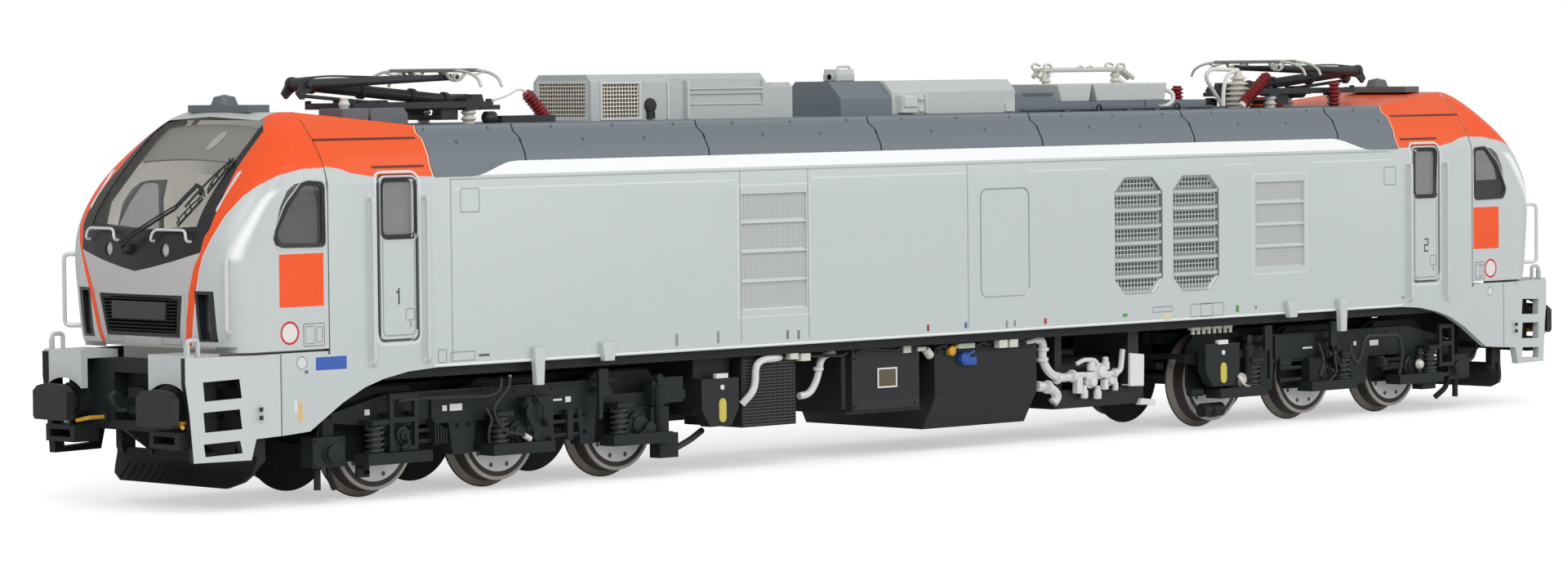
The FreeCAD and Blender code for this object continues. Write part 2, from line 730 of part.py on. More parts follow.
def plough_bank():
    """Curved rail guard with its ribs and hangers."""
    front = []
    steps = 5
    for i in range(steps + 1):
        t = i / steps
        front.append((-plough_x - plough_sweep * (1 - t) ** 2, plough_clearance + plough_height * t))
    blade = prism_y(front + [(x + 0.6, z) for x, z in reversed(front)], -plough_half_width, plough_half_width)
    pieces = [blade]
    hanger_back = -plough_x + 2.6
    post_top = beam_bottom_z
    for side in (-1, 1):
        y = side * (plough_half_width - 1.0)
        pieces.append(prism_y([(-plough_x + 0.2, plough_top_z - 1.6), (-plough_x - 0.5, plough_top_z),
                               (-plough_x - 0.5, post_top), (-plough_x + 1.6, post_top),
                               (-plough_x + 1.6, plough_top_z - 0.6)], y - 0.6, y + 0.6))
        inner = side * plough_half_width / 2
        pieces.append(prism_y([(-plough_x + 0.2, plough_top_z - 2.0), (-plough_x - 0.3, plough_top_z),
                               (-beam_front_x + beam_thickness, beam_bottom_z + 0.2),
                               (-beam_front_x + beam_thickness, beam_bottom_z + 1.4),
                               (hanger_back, beam_bottom_z + 1.4), (-plough_x + 1.6, plough_top_z - 1.0)],
                              inner - 0.4, inner + 0.4))
        low, high = ordered(inner, y)
        pieces.append(box(-plough_x - 0.5, -plough_x + 1.6, low, high, post_top - 0.8, post_top))
    pieces.append(box(-plough_x - 0.2, hanger_back, -8.0, 8.0, beam_bottom_z + 1.0, floor_bottom_z))
    return merged(pieces)


def shunter_handles():
    """Bent handles under the buffers."""
    solids = []
    z = beam_bottom_z + 1.5
    front = -beam_front_x
    for side in (-1, 1):
        for y0, y1 in ((beam_half_width - 0.25, beam_half_width + 1.2), (5.2, 7.4)):
            if y0 > 10:
                points = [(front, side * y0, z), (front - 2.4, side * y0, z), (front - 3.0, side * y1, z - 0.4)]
            else:
                points = [(front - 0.5, side * y0, z), (front - 2.6, side * y0, z), (front - 2.9, side * y1, z - 0.4)]
            solids.append(slim_rail(points, 0.25))
    return solids


def bay_x(share):
    """X at a share of the space between the bogies."""
    return share * bay_half_length


def under_floor_boxes():
    """Main tank, equipment boxes and compressor hung between the bogies."""
    top = floor_bottom_z
    half = body_half_width - 2.4
    tank = prism_x([(-half, top), (-half, 7.6), (-half + 2.5, 3.2), (half - 2.5, 3.2), (half, 7.6), (half, top)],
                   bay_x(-0.069), bay_x(0.362))
    solids = [tank]
    for side in (-1, 1):
        hopper_y = ordered(side * (half - 1.6), side * (half + 0.3))
        hopper = sand_box(bay_x(-1), bay_x(-0.857), 6.0, 12.3, *hopper_y)
        solids.append(merged([side_box(bay_x(-1), bay_x(-0.857), side, 3.0, half - 1.4, 7.5, top), hopper]))
        solids.append(side_box(bay_x(-0.848), bay_x(-0.642), side, 3.0, half + 0.1, 5.6, top))
        solids.append(side_box(bay_x(-0.409), bay_x(-0.135), side, 3.0, half + 0.1, 6.2, top))
        base = side_box(bay_x(0.467), bay_x(0.865), side, 3.0, half - 1.4, 4.6, 7.2)
        post = side_box(bay_x(0.484), bay_x(0.514), side, 3.0, half - 1.9, 7.0, top)
        cabinet = side_box(bay_x(0.771), bay_x(0.818), side, 3.0, half - 0.3, 7.0, top)
        motor = rod((bay_x(0.51), side * 9.0, 9.4), (bay_x(0.775), side * 9.0, 9.4), 2.3)
        solids.append(merged([base, post, cabinet, motor]))
    return solids


def pipework():
    """Air pipes beside the compressor and over the tank's ends."""
    solids = []
    y = body_half_width - 2.9
    top = floor_bottom_z
    for points in ([(0.375, y, 13.4), (0.392, y, 13.4), (0.405, y, 9.4), (0.50, y - 0.6, 8.8), (0.56, y - 1.4, 8.8)],
                   [(-0.44, y, top), (-0.44, y, 11.0), (-0.425, y, 8.2), (-0.409, y, 8.2)],
                   [(-0.62, y - 0.3, top), (-0.62, y - 0.3, 9.2), (-0.5, y - 0.3, 9.2), (-0.5, y - 0.3, top)]):
        placed = [(bay_x(share), py, pz) for share, py, pz in points]
        for side in (-1, 1):
            solids.append(slim_rail([(px, side * py, pz) for px, py, pz in placed], 0.42))
    return solids


def jacking_brackets():
    """Lifting brackets on the sill, tall ones over the bogies and low ones beside them."""
    solids = []
    skin = body_half_width
    for x, low, high, half in ((-77.0, 3.0, 1.8, 0.9), (79.0, 3.0, 1.8, 0.9), (-65.3, 0.5, 1.9, 1.2),
                               (67.7, 0.5, 1.9, 1.2)):
        centre = x * pivot_x / 78.0
        for side in (-1, 1):
            y0, y1 = ordered(side * skin, side * (skin + 0.9))
            shape = [(centre - half, sill_z + high), (centre - half * 0.7, sill_z - low), (centre + half * 0.7, sill_z - low),
                     (centre + half, sill_z + high)]
            solids.append(prism_y(shape, y0, y1))
    return solids


# Bogies
def sand_box(x0, x1, z0, z1, y0, y1):
    """Box with its lower corners cut off."""
    cut = 0.22 * (x1 - x0)
    slope = 0.36 * (z1 - z0)
    return prism_y([(x0, z1), (x0, z0 + slope), (x0 + cut, z0), (x1 - cut, z0), (x1, z0 + slope), (x1, z1)], y0, y1)


def bogie_x(at):
    """X in the bogie, written for axles 20.1 mm apart."""
    return at * axle_spacing / 20.1


def bogie_z(at):
    """Height in the bogie, written for a beam whose top is 13.1 mm up."""
    return at * side_beam_z1 / 13.1


def bogie_block(side, x0, x1, y0, y1, z0, z1):
    """Block on a side beam, y counted outwards from the beam's outer face."""
    return side_box(bogie_x(x0), bogie_x(x1), side, side_beam_y1 + y0, side_beam_y1 + y1, bogie_z(z0), bogie_z(z1))


fitted_blocks = {
    -1: [(-13.8, -5.1, -0.1, 0.4, 9.0, 12.5), (-30.6, -28.9, -0.9, -0.1, 8.0, 10.6), (-25.4, -23.5, -0.4, 0.1, 3.0, 4.9),
         (0.7, 5.1, -0.2, 1.7, 5.0, 11.6), (21.9, 25.0, -0.2, 1.5, 5.4, 9.2), (23.5, 26.7, -0.6, 1.4, 2.5, 5.7),
         (24.4, 27.8, -0.2, 1.2, 9.6, 12.9), (-18.2, -13.4, 0.1, 0.7, 8.0, 8.5), (-18.2, -13.4, 0.1, 0.7, 6.7, 7.2),
         (-14.3, -13.4, -0.1, 1.2, 6.4, 9.6), (5.0, 8.6, 0.1, 0.7, 7.9, 8.4), (5.0, 8.6, 0.1, 0.7, 6.2, 6.7),
         (7.9, 8.9, -0.1, 1.2, 5.8, 9.6)],
    1: [(1.5, 10.2, -0.1, 0.4, 9.4, 12.9), (6.8, 9.3, -0.1, 0.6, 7.8, 9.7), (-30.6, -28.9, -0.9, -0.1, 8.0, 10.6),
        (-25.3, -22.2, -0.6, 1.4, 3.5, 6.0), (0.7, 3.4, -0.2, 1.2, 5.0, 9.4), (-18.2, -13.4, 0.1, 0.7, 7.2, 7.8),
        (22.2, 26.2, -0.2, 1.1, 9.5, 12.0), (22.2, 26.2, 0.4, 1.1, 6.8, 9.6)]}


def bogie_frame():
    """Frame of bogie 1 with its pivot at x = 0 and the cab at -x: beams, axle boxes on their arms, guides and housings."""
    end = bogie_half_length
    low = side_beam_z0
    high = side_beam_z1
    tip = high - side_beam_tip_drop
    outline = [(-end, tip - side_beam_end_height), (-0.75 * end, low), (0.85 * end, low),
               (end, tip - side_beam_end_height), (end, tip), (0.58 * end, tip), (0.53 * end, high),
               (-0.69 * end, high), (-end, tip)]
    pieces = []
    for side in (-1, 1):
        y0, y1 = ordered(side * side_beam_y0, side * side_beam_y1)
        pieces.append(prism_y(outline, y0, y1))
        face = side_beam_y1 + axle_box_reach
        for axle in (-1, 0, 1):
            x = axle * axle_spacing
            pieces.append(side_box(x - axle_box_half, x + axle_box_half, side, side_beam_y0 - 0.1, face,
                                   axle_z - axle_box_drop, low + 0.2))
            pieces.append(slim_bar((x, side * (face - 0.1), axle_z), (x, side * (face + 0.5), axle_z), 1.7, 14))
            pieces.append(side_box(x - spring_offset - spring_radius - 0.7, x + 4.6, side, side_beam_y1 - 0.2,
                                   spring_y + spring_radius, spring_bottom_z - arm_height, spring_bottom_z))
            pieces.append(side_box(x - spring_offset - spring_radius, x - spring_offset + spring_radius, side,
                                   side_beam_y1 - 0.4, spring_y + spring_radius, spring_top_z, spring_top_z + 0.6))
        y0, y1 = ordered(side * side_beam_y0, side * (side_beam_y1 + 0.3))
        for x, top_half, foot_half in ((-8.75, 2.3, 1.6), (12.0, 1.6, 1.2)):
            pieces.append(prism_y([(bogie_x(x - top_half), low + 0.5), (bogie_x(x - foot_half), bogie_z(5.0)),
                                   (bogie_x(x + foot_half), bogie_z(5.0)), (bogie_x(x + top_half), low + 0.5)], y0, y1))
        pieces += [bogie_block(side, *sizes) for sizes in fitted_blocks[side]]
        housing = -end - 4.0
        pieces.append(side_box(housing, -end + 1.0, side, side_beam_y1 - 0.9, side_beam_y1 + 1.4, bogie_z(4.7), bogie_z(8.4)))
        pieces.append(slim_bar((housing + 1.7, side * side_beam_y1, bogie_z(1.9)),
                               (housing + 1.7, side * side_beam_y1, bogie_z(5.0)), 0.45))
    box_y = side_beam_y1 + 1.0, side_beam_y1 + 2.5
    pieces.append(sand_box(bogie_x(20.4), bogie_x(27.7), bogie_z(6.4), bogie_z(12.5), *box_y))
    cross_z1 = low + cross_beam_height
    for x in (-axle_spacing / 2, axle_spacing / 2):
        pieces.append(box(x - 1.3, x + 1.3, -side_beam_y0 - 0.2, side_beam_y0 + 0.2, low, cross_z1))
    pieces.append(box(-axle_spacing / 2 - 0.9, axle_spacing / 2 + 0.9, -3.4, 3.4, low, cross_z1))
    for x in (-end + 0.8, end - 0.8):
        pieces.append(box(x - 0.8, x + 0.8, -side_beam_y0 - 0.2, side_beam_y0 + 0.2, tip - 0.8, tip - 0.1))
    frame = merged(pieces)
    for axle in (-1, 0, 1):
        x = axle * axle_spacing
        hole = rod((x, -side_beam_y1 - 0.4, axle_z), (x, side_beam_y1 + 0.4, axle_z), journal_radius + journal_clearance)
        frame = frame.cut(hole)
    return frame.cut(rod((0, 0, low - 1), (0, 0, high + 1), pivot_post_radius + pivot_clearance))


def ladder_frame(side, x0, x1, z0, z1):
    """Bracket like a short ladder that stands outside a side beam."""
    bars = [bogie_block(side, x, x + 0.6, 1.5, 2.1, z0, z1) for x in (x0, x1 - 0.6)]
    bars += [bogie_block(side, x0, x1, 1.5, 2.1, z, z + 0.6) for z in (z0, (z0 + z1) / 2, z1 - 0.6)]
    bars += [bogie_block(side, x, x + 0.6, 0.0, 1.6, 10.2, 10.8) for x in (x0, x1 - 0.6)]
    return merged(bars)


def hanging_bracket(side, x0, x1, z0):
    """Flat bracket in front of a side beam, its upper half broad and its lower half narrow."""
    return merged([bogie_block(side, x0, x1, 1.5, 2.0, 11.0, 14.6), bogie_block(side, x0, x0 + 0.6, 1.5, 2.0, z0, 11.2),
                   bogie_block(side, x0, x1, 0.0, 1.6, 11.6, 12.2)])


def bogie_gear():
    """Fittings outside the frame of bogie 1. Its far side looks as bogie 2's near side does, turned round."""
    near = [ladder_frame(-1, -21.8, -17.3, 6.1, 13.1), hanging_bracket(-1, 12.6, 14.2, 8.2),
            bogie_block(-1, 22.1, 24.1, 0.0, 1.6, 9.5, 12.6)]
    far = [hanging_bracket(1, 12.6, 14.2, 6.9), hanging_bracket(1, -2.1, -0.5, 8.2), ladder_frame(1, -28.9, -25.4, 6.8, 13.1)]
    return near + far


def bogie_springs():
    """Primary springs standing on the arms of the axle boxes."""
    solids = []
    for side in (-1, 1):
        for axle in (-1, 0, 1):
            x = axle * axle_spacing - spring_offset
            solids.append(slim_bar((x, side * spring_y, spring_bottom_z), (x, side * spring_y, spring_top_z),
                                   spring_radius, 12))
    return solids


def wheelset():
    """Axle with two flanged wheels, its journals reaching into the axle boxes."""
    tip = tread_radius + flange_depth
    wheel = [(axle_radius, wheel_back_y), (tip, wheel_back_y),
             (tread_radius + 0.1, wheel_back_y + 0.85), (tread_radius - 0.1, wheel_outer_y), (axle_radius, wheel_outer_y)]
    reach = side_beam_y1 + 0.3
    shapes = [rod((0, -wheel_outer_y - 0.3, axle_z), (0, wheel_outer_y + 0.3, axle_z), axle_radius),
              rod((0, -reach, axle_z), (0, reach, axle_z), journal_radius)]
    for side in (-1, 1):
        shapes.append(turned(wheel, (0, 0, axle_z), (0, side, 0)))
    return merged(shapes)


# Roof equipment
def roof_block(x0, x1, top, chamfer, half=gear_half_width):
    """Housing on the roof with its long upper edges cut off."""
    return prism_x([(-half, roof_top_z), (-half, top - chamfer), (-half + chamfer, top), (half - chamfer, top),
                    (half, top - chamfer), (half, roof_top_z)], side_x(x0), side_x(x1))


def hoop_top(x):
    """Height of the roof's crown, which rises from the machine room to the cab."""
    return roof_top_z + cab_dome * max(0, abs(x) - roof_end_x) / hoop_length


def cooling_cowls():
    """Tall ventilation cowl and the ribbed housing behind it."""
    g = gear_half_width
    front = side_x(-0.622)
    cowl = roof_block(-0.622, -0.2863, cowl_top_z, gear_chamfer)
    cowl = cowl.cut(box(front - 1, front + 0.5, -g + 0.9, g - 0.9, roof_top_z + 0.3, cowl_top_z - 0.9))
    mesh_z1 = cowl_top_z - 1.1
    for side in (-1, 1):
        cowl = cowl.cut(side_box(side_x(-0.602), side_x(-0.532), side, g - 0.4, g + 1, roof_top_z + 0.3, mesh_z1))
        cowl = cowl.cut(side_box(side_x(-0.4726), side_x(-0.4413), side, g - 0.4, g + 1, roof_top_z - 1, cowl_top_z + 1))
        for i in range(2):
            z = roof_top_z + 0.3 * cowl_height + i * 0.32 * cowl_height
            cowl = cowl.cut(side_box(side_x(-0.436), side_x(-0.292), side, g - 0.25, g + 1, z, z + 0.25 * cowl_height))
    lid = roof_block(-0.2863, -0.2325, cabinet_top_z, 0.6 * gear_chamfer)
    return merged([cowl, lid])


def roof_cabinets():
    """Equipment housings along the roof, and the small boxes beside pantograph 1."""
    g = gear_half_width
    solids = [roof_block(-0.0291, 0.2347, cabinet_top_z, 1.5 * gear_chamfer)]
    solids.append(box(side_x(-0.097), side_x(-0.06), -1.4, 1.4, cabinet_top_z, cabinet_top_z + 1.1))
    for x0, x1 in ((0.3358, 0.3983), (0.4155, 0.5694)):
        a = side_x(x0)
        b = side_x(x1)
        top = gear_bed_z + 2.5
        solids.append(prism_y([(a, gear_bed_z), (a - 0.7, top), (b + 0.6, top), (b, gear_bed_z)], -g, g))
    a = -roof_end_x - 0.46 * hoop_length
    b = a + 4.2
    c = b + 0.3
    d = c + 6.0
    top = roof_top_z + 2.2
    solids.append(prism_y([(a, hoop_top(a)), (a, top), (b, top), (b, hoop_top(b))], -8.0, -3.2))
    dome = [(c, hoop_top(c)), (c, top - 0.8), (c + 0.7, top), (d - 0.7, top), (d, top - 0.8), (d, roof_top_z),
            (-roof_end_x, roof_top_z)]
    solids.append(prism_y(dome, -8.0, -base_y - 1.2))
    return solids


def roof_fairings():
    """Slate wedges at the ends of the housings and the low bed of the high-voltage gear."""
    g = gear_half_width
    wedge_z = roof_top_z + 0.5 * cabinet_height
    wedge = prism_x([(-g, roof_top_z), (-g, wedge_z), (-0.57 * g, cabinet_top_z), (0.57 * g, cabinet_top_z),
                     (g, wedge_z), (g, roof_top_z)], side_x(-0.1346), side_x(-0.0291))
    start = side_x(0.2347)
    shoulder = roof_top_z + 0.57 * cabinet_height
    low = prism_y([(start, roof_top_z), (start, shoulder), (side_x(0.3014), shoulder), (side_x(0.3315), gear_bed_z),
                   (side_x(0.6663), gear_bed_z), (side_x(0.6663), roof_top_z)], -g, g)
    return [wedge, low]


def shed_insulator(centre, height, radius, sheds, axis=(0, 0, 1)):
    """Insulator with a stack of sheds, all many-sided."""
    foot = Vector(*centre)
    up = Vector(*axis).normalize()
    pitch = height / sheds
    pieces = [slim_bar(foot, foot + up * height, radius * 0.6, 12)]
    for i in range(sheds):
        start = foot + up * ((i + 0.25) * pitch)
        pieces.append(slim_bar(start, start + up * (0.4 * pitch), radius, 12))
    return merged(pieces)


def roof_insulators():
    """Upright insulators that carry the high-voltage bar and lead."""
    top = gear_bed_z + 2.5
    return [shed_insulator((side_x(0.771), -0.6 * gear_half_width, roof_top_z), 5.2, 1.5, 3),
            shed_insulator((side_x(0.366), 0, top), 1.9, 0.7, 1),
            shed_insulator((side_x(0.522), 0, top), 1.9, 0.7, 1)]


def high_voltage_bar():
    """Silver conductor bridge over the trapezoid housings."""
    z = gear_bed_z + 4.4
    x0 = side_x(0.3445)
    x1 = side_x(0.558)
    strip = [(x0, z - 1.0), (x0 + 1.0, z), (x1 - 1.8, z), (x1, z - 1.4), (x1, z - 0.9), (x1 - 1.6, z + 0.5),
             (x0 + 0.8, z + 0.5), (x0, z - 0.4)]
    return prism_y(strip, -0.45, 0.45)


def arresters():
    """Dark red surge arresters."""
    half = gear_half_width
    return [shed_insulator((side_x(-0.6835), -0.6 * half, roof_top_z + 0.5), 4.6, 0.8, 3, (-0.72, 0, 0.7)),
            shed_insulator((side_x(0.743), -1.17 * half, roof_top_z + 0.6), 6.8, 0.85, 4, (0.8, 0, 0.6)),
            shed_insulator((side_x(0.971), -1.08 * half, roof_top_z), 3.8, 0.8, 3),
            shed_insulator((side_x(0.631), -0.53 * half, gear_bed_z), 2.0, 0.9, 1)]


def antennas():
    """Antenna plates with their domes on the cab roofs."""
    solids = []
    for x in (-cab_seam_x - 2.2, cab_seam_x - 1.6):
        plate = box(x - 1.6, x + 1.6, -6.1, 6.1, cab_top_z, cab_top_z + 0.9)
        dome = turned([(0, 0), (1.7, 0), (1.3, 1.0), (0, 1.3)], (x, 0.8, cab_top_z + 0.9), (0, 0, 1))
        solids.append(merged([plate, dome]))
    return solids


# Pantographs
def panto_base():
    """Base frame with the bearing lugs of the arm and of the guide rod."""
    z0 = panto_base_z - base_rail
    z1 = z0 + base_rail
    outer = -panto_base_x - 21.0
    inner = -panto_base_x + 1.8
    y0 = base_y - 0.45
    y1 = base_y + 0.45
    pieces = []
    for side in (-1, 1):
        pieces.append(side_box(outer, inner, side, y0, y1, z0, z1))
    pieces.append(box(outer, outer + 1.2, -y0, y0, z0, z1))
    pieces.append(box(inner - 0.7, inner, -y0, y0, z0, z1))
    rx = -rod_base_x
    cross_z = roof_top_z + 0.5
    for side in (-1, 1):
        low, high = ordered(side * (base_y - 1.35), side * (base_y - 0.35))
        lug_top = panto_base_z + 0.9
        pieces.append(prism_y([(-panto_base_x - 1.5, z0), (-panto_base_x - 0.9, lug_top), (-panto_base_x + 0.6, lug_top),
                               (-panto_base_x + 1.2, z0)], low, high))
        low, high = ordered(side * 2.05, side * 2.55)
        pieces.append(prism_y([(rx - 1.3, cross_z + 0.1), (rx - 0.7, rod_base_z + 0.6), (rx + 0.7, rod_base_z + 0.6),
                               (rx + 1.3, cross_z + 0.1)], low, high))
        pieces.append(side_box(rx - 1.4, rx + 1.4, side, base_y - 0.75, base_y - 0.15, cross_z, z0 + 0.2))
    pieces.append(box(rx - 1.4, rx + 1.4, -base_y + 0.15, base_y - 0.15, cross_z, cross_z + 0.6))
    frame = merged(pieces)
    reach = base_y - 0.95
    hole = rod((-panto_base_x, -reach, panto_base_z), (-panto_base_x, reach, panto_base_z), shaft_radius + pin_clearance)
    return frame.cut(hole)


def panto_insulators():
    """Four white insulators under the base frame."""
    height = panto_base_z - base_rail - roof_top_z
    spots = [(x, y) for x in (-panto_base_x - 16.3, -panto_base_x - 2.0) for y in (-base_y, base_y)]
    return [shed_insulator((x, y, roof_top_z), height, 0.95, 1) for x, y in spots]


def lower_arm():
    """Main tube with its cross shaft at the base and the knee barrel."""
    reach = base_y - 1.05
    base = (-panto_base_x, 0, panto_base_z)
    knee = (-knee_x, 0, knee_z)
    shaft = rod((-panto_base_x, -reach, panto_base_z), (-panto_base_x, reach, panto_base_z), shaft_radius)
    hub = rod((-panto_base_x, -1.8, panto_base_z), (-panto_base_x, 1.8, panto_base_z), lower_arm_radius + 0.2)
    tube = rod(base, knee, lower_arm_radius)
    barrel = rod((-knee_x, -1.1, knee_z), (-knee_x, 1.1, knee_z), lower_arm_radius + 0.1)
    pin = rod((-knee_x, -1.75, knee_z), (-knee_x, 1.75, knee_z), knee_pin_radius)
    return merged([shaft, hub, tube, barrel, pin])


def upper_arm():
    """Two tubes spreading from the knee lugs to the head shaft, with the rod's tail lugs."""
    pieces = []
    for side in (-1, 1):
        low, high = ordered(side * 1.2, side * 1.7)
        lug = rod((-knee_x, low, knee_z), (-knee_x, high, knee_z), 2 * knee_pin_radius)
        tail = prism_y([(-knee_x + 0.6, knee_z - 0.5), (-knee_x - 0.5, knee_z + 0.6), (-tail_x - 0.45, tail_z + 0.3),
                        (-tail_x + 0.3, tail_z - 0.4)], low, high)
        tube = slim_bar((-knee_x, side * 1.45, knee_z), (-head_x, side * 3.6, head_pivot_z), 0.4)
        pieces.extend([lug, tail, tube])
    pieces.append(rod((-head_x, -4.6, head_pivot_z), (-head_x, 4.6, head_pivot_z), head_shaft_radius))
    tie_x = -head_x - 5.0
    tie_z = head_pivot_z - 0.24 * head_rise
    pieces.append(slim_bar((tie_x, -3.1, tie_z), (tie_x, 3.1, tie_z), 0.25))
    arm = merged(pieces)
    return arm.cut(rod((-knee_x, -2, knee_z), (-knee_x, 2, knee_z), knee_pin_radius + pin_clearance))


def guide_rod():
    """Thin rod under the lower arm, from the base to the tail of the upper arm."""
    eye = rod((-rod_base_x, -1.95, rod_base_z), (-rod_base_x, -1.45, rod_base_z), 0.5)
    far_eye = slim_bar((-tail_x, -2.25, tail_z), (-tail_x, -1.8, tail_z), 0.5)
    link = slim_bar((-rod_base_x, -1.8, rod_base_z), (-tail_x, -2.05, tail_z), 0.25)
    return merged([eye, far_eye, link])


def collector_head():
    """Two collector strips with drooping horns, on side plates around the head shaft."""
    top = head_top_z
    w = head_half_width
    horn_top = [(w, top - 2.3), (w - 0.6, top - 1.2), (w - 2.0, top - 0.45), (0.63 * w, top - 0.1)]
    horn_low = [(0.63 * w, top - 0.5), (w - 2.2, top - 0.85), (w - 0.95, top - 1.45), (w - 0.35, top - 2.4)]
    half = horn_top + horn_low
    pieces = []
    for dx in (-1.7, 1.7):
        x = -head_x + dx
        pieces.append(box(x - 0.45, x + 0.45, -0.57 * w, 0.57 * w, top - 0.5, top))
        pieces.append(box(x - 0.22, x + 0.22, -0.64 * w, 0.64 * w, top - 0.5, top - 0.1))
        for side in (-1, 1):
            pieces.append(prism_x([(side * y, z) for y, z in half], x - 0.22, x + 0.22))
    foot = head_pivot_z - 0.6
    for side in (-1, 1):
        low, high = ordered(side * 4.0, side * 4.4)
        pieces.append(prism_y([(-head_x - 2.0, top - 0.25), (-head_x - 0.7, foot), (-head_x + 0.7, foot),
                               (-head_x + 2.0, top - 0.25)], low, high))
    head = merged(pieces)
    return head.cut(rod((-head_x, -5, head_pivot_z), (-head_x, 5, head_pivot_z), head_shaft_radius + pin_clearance))


# Cab interior, handrails and wipers
def cab_interior():
    """Floor, desk, two seats and the pale rear wall."""
    cavity = cab_solid(wall + 0.02, cab_bottom_z, cab_top_z - wall, False)
    deck = cab_bottom_z + 0.9
    back_x = -cab_seam_x + 5.1
    floor_top = cab_bottom_z + 1.1
    half = inner_half_width - 0.7
    floor = cavity.common(box(-nose_x + 2.9, -cab_seam_x + 0.5, -half, half, cab_bottom_z + 0.3, floor_top))
    rear_floor = box(-cab_seam_x + 0.4, back_x, -half, half, cab_bottom_z + 0.3, floor_top)
    rear = box(back_x - 1.0, back_x, -half, half, cab_bottom_z + 0.3, cab_z(0.724))
    desk_shape = [(0.083, 0.031), (0.589, 0.031), (0.589, 0.29), (0.506, 0.36), (0.321, 0.409), (0.065, 0.451)]
    desk = cavity.common(prism_y([(cab_x(back), cab_z(up)) for back, up in desk_shape], -13.0, 13.0))
    pieces = [floor, rear_floor, rear, desk]
    seat_x = -cab_seam_x - 1.2
    for y in (-6.5, 6.5):
        pieces.append(box(seat_x - 1.3, seat_x + 2.1, y - 1.2, y + 1.2, deck, deck + 3.2))
        pieces.append(box(seat_x - 2.1, seat_x + 2.9, y - 2.4, y + 2.4, deck + 3.2, deck + 4.4))
        pieces.append(prism_y([(seat_x + 1.9, deck + 4.4), (seat_x + 2.9, deck + 4.4), (seat_x + 3.7, deck + 11.8),
                               (seat_x + 2.7, deck + 11.8)], y - 2.2, y + 2.2))
    return merged(pieces)


rail_radius = 0.2
rail_stand_off = 0.8


def handrails():
    """Rails at the nose corners, below the windscreen, and beside the doors."""
    solids = []
    cab = cab_solid(0, cab_bottom_z, cab_top_z)
    for side in (-1, 1):
        low = cab_z(0.087)
        high = cab_z(0.395)
        y = side * body_half_width
        foot_x = cab_x(0.17)
        out_x = cab_x(0.08)
        out_y = 0.972 * y
        foot_y = 0.89 * y
        corner = slim_rail([(foot_x, foot_y, low), (out_x, out_y, low), (out_x, out_y, high), (foot_x, foot_y, high)],
                           rail_radius)
        solids.append(corner.cut(cab))
        for x in (-door_x0 + 1.2, -door_x1 - 1.1):
            out = side * (body_half_width + rail_stand_off)
            solids.append(slim_rail([(x, y, sill_z + 0.7), (x, out, sill_z + 0.7), (x, out, door_z1 - 2.7),
                                     (x, y, door_z1 - 2.7)], rail_radius))
        z = windscreen_bottom_z - 0.7
        for y0, y1 in ((3.4, 10.2),):
            points = []
            for py in (y0, y1):
                points.append((skin_x(py, z) + 0.3, side * py, z))
                points.append((skin_x(py, z) - rail_stand_off, side * py, z + 0.2))
            solids.append(slim_rail([points[0], points[1], points[3], points[2]], rail_radius).cut(cab))
    return solids


def wipers():
    """Wiper arm and blade parked on each half of the windscreen."""
    solids = []
    cab = cab_solid(0, cab_bottom_z, cab_top_z)
    for side in (-1, 1):
        foot = (0.76 * windscreen_half, windscreen_bottom_z - 0.9)
        elbow = (0.55 * windscreen_half, windscreen_bottom_z + 2.6)
        tip = (0.2 * windscreen_half, windscreen_bottom_z + 6.8)
        points = [(skin_x(y, z) - 0.45, side * y, z) for y, z in (foot, elbow, tip)]
        pivot = (points[0][0] + 0.9, points[0][1], points[0][2])
        arm = slim_rail([pivot] + points, 0.16)
        blade_low = (0.5 * windscreen_half, windscreen_bottom_z + 1.2)
        blade_high = (0.02 * windscreen_half + 0.3, windscreen_bottom_z + 8.6)
        ends = [(skin_x(y, z) - 0.3, side * y, z) for y, z in (blade_low, tip, blade_high)]
        blade = slim_rail(ends, 0.2)
        solids.append(merged([arm, blade]).cut(cab))
    return solids


motor_block = box(-0.48 * roof_end_x, 0.48 * roof_end_x, -9.0, 9.0, floor_top_z, floor_top_z + 0.65 * side_height)

parts["underframe"] = underframe()
parts["body_shell"] = body_shell()
parts["roof_panels"] = roof_panels()
parts["motor_block"] = motor_block

screen, panes = cab_glazing()
for end in (1, 2):
    parts["cab_shell_%d" % end] = at_end(cab_shell(), end)
    parts["cab_interior_%d" % end] = at_end(cab_interior(), end)
    parts["buffer_beam_%d" % end] = at_end(buffer_beam(), end)
    parts["front_skirt_%d" % end] = at_end(Part.makeCompound(both_sides(front_skirt())), end)
    parts["snow_plough_%d" % end] = at_end(plough_bank(), end)


def at_both_ends(shapes):
    """Pieces of one kind at both ends, as one compound."""
    return Part.makeCompound([at_end(shape, end) for end in (1, 2) for shape in shapes])


parts["nose_grilles"] = at_both_ends([nose_grille()])
parts["windscreens"] = at_both_ends([screen])
parts["side_windows"] = Part.makeCompound([at_end(panes, 1), at_end(panes, 2)] + door_glazing())
parts["lamps"] = at_both_ends(lamps())
parts["buffers"] = at_both_ends(buffers())
parts["couplings"] = at_both_ends([coupling_hook()])
parts["shunter_handles"] = at_both_ends(shunter_handles())
parts["handrails"] = at_both_ends(handrails())
parts["wipers"] = at_both_ends(wipers())
parts["under_floor_boxes"] = Part.makeCompound(under_floor_boxes())
parts["pipework"] = Part.makeCompound(pipework())
parts["jacking_brackets"] = Part.makeCompound(jacking_brackets())

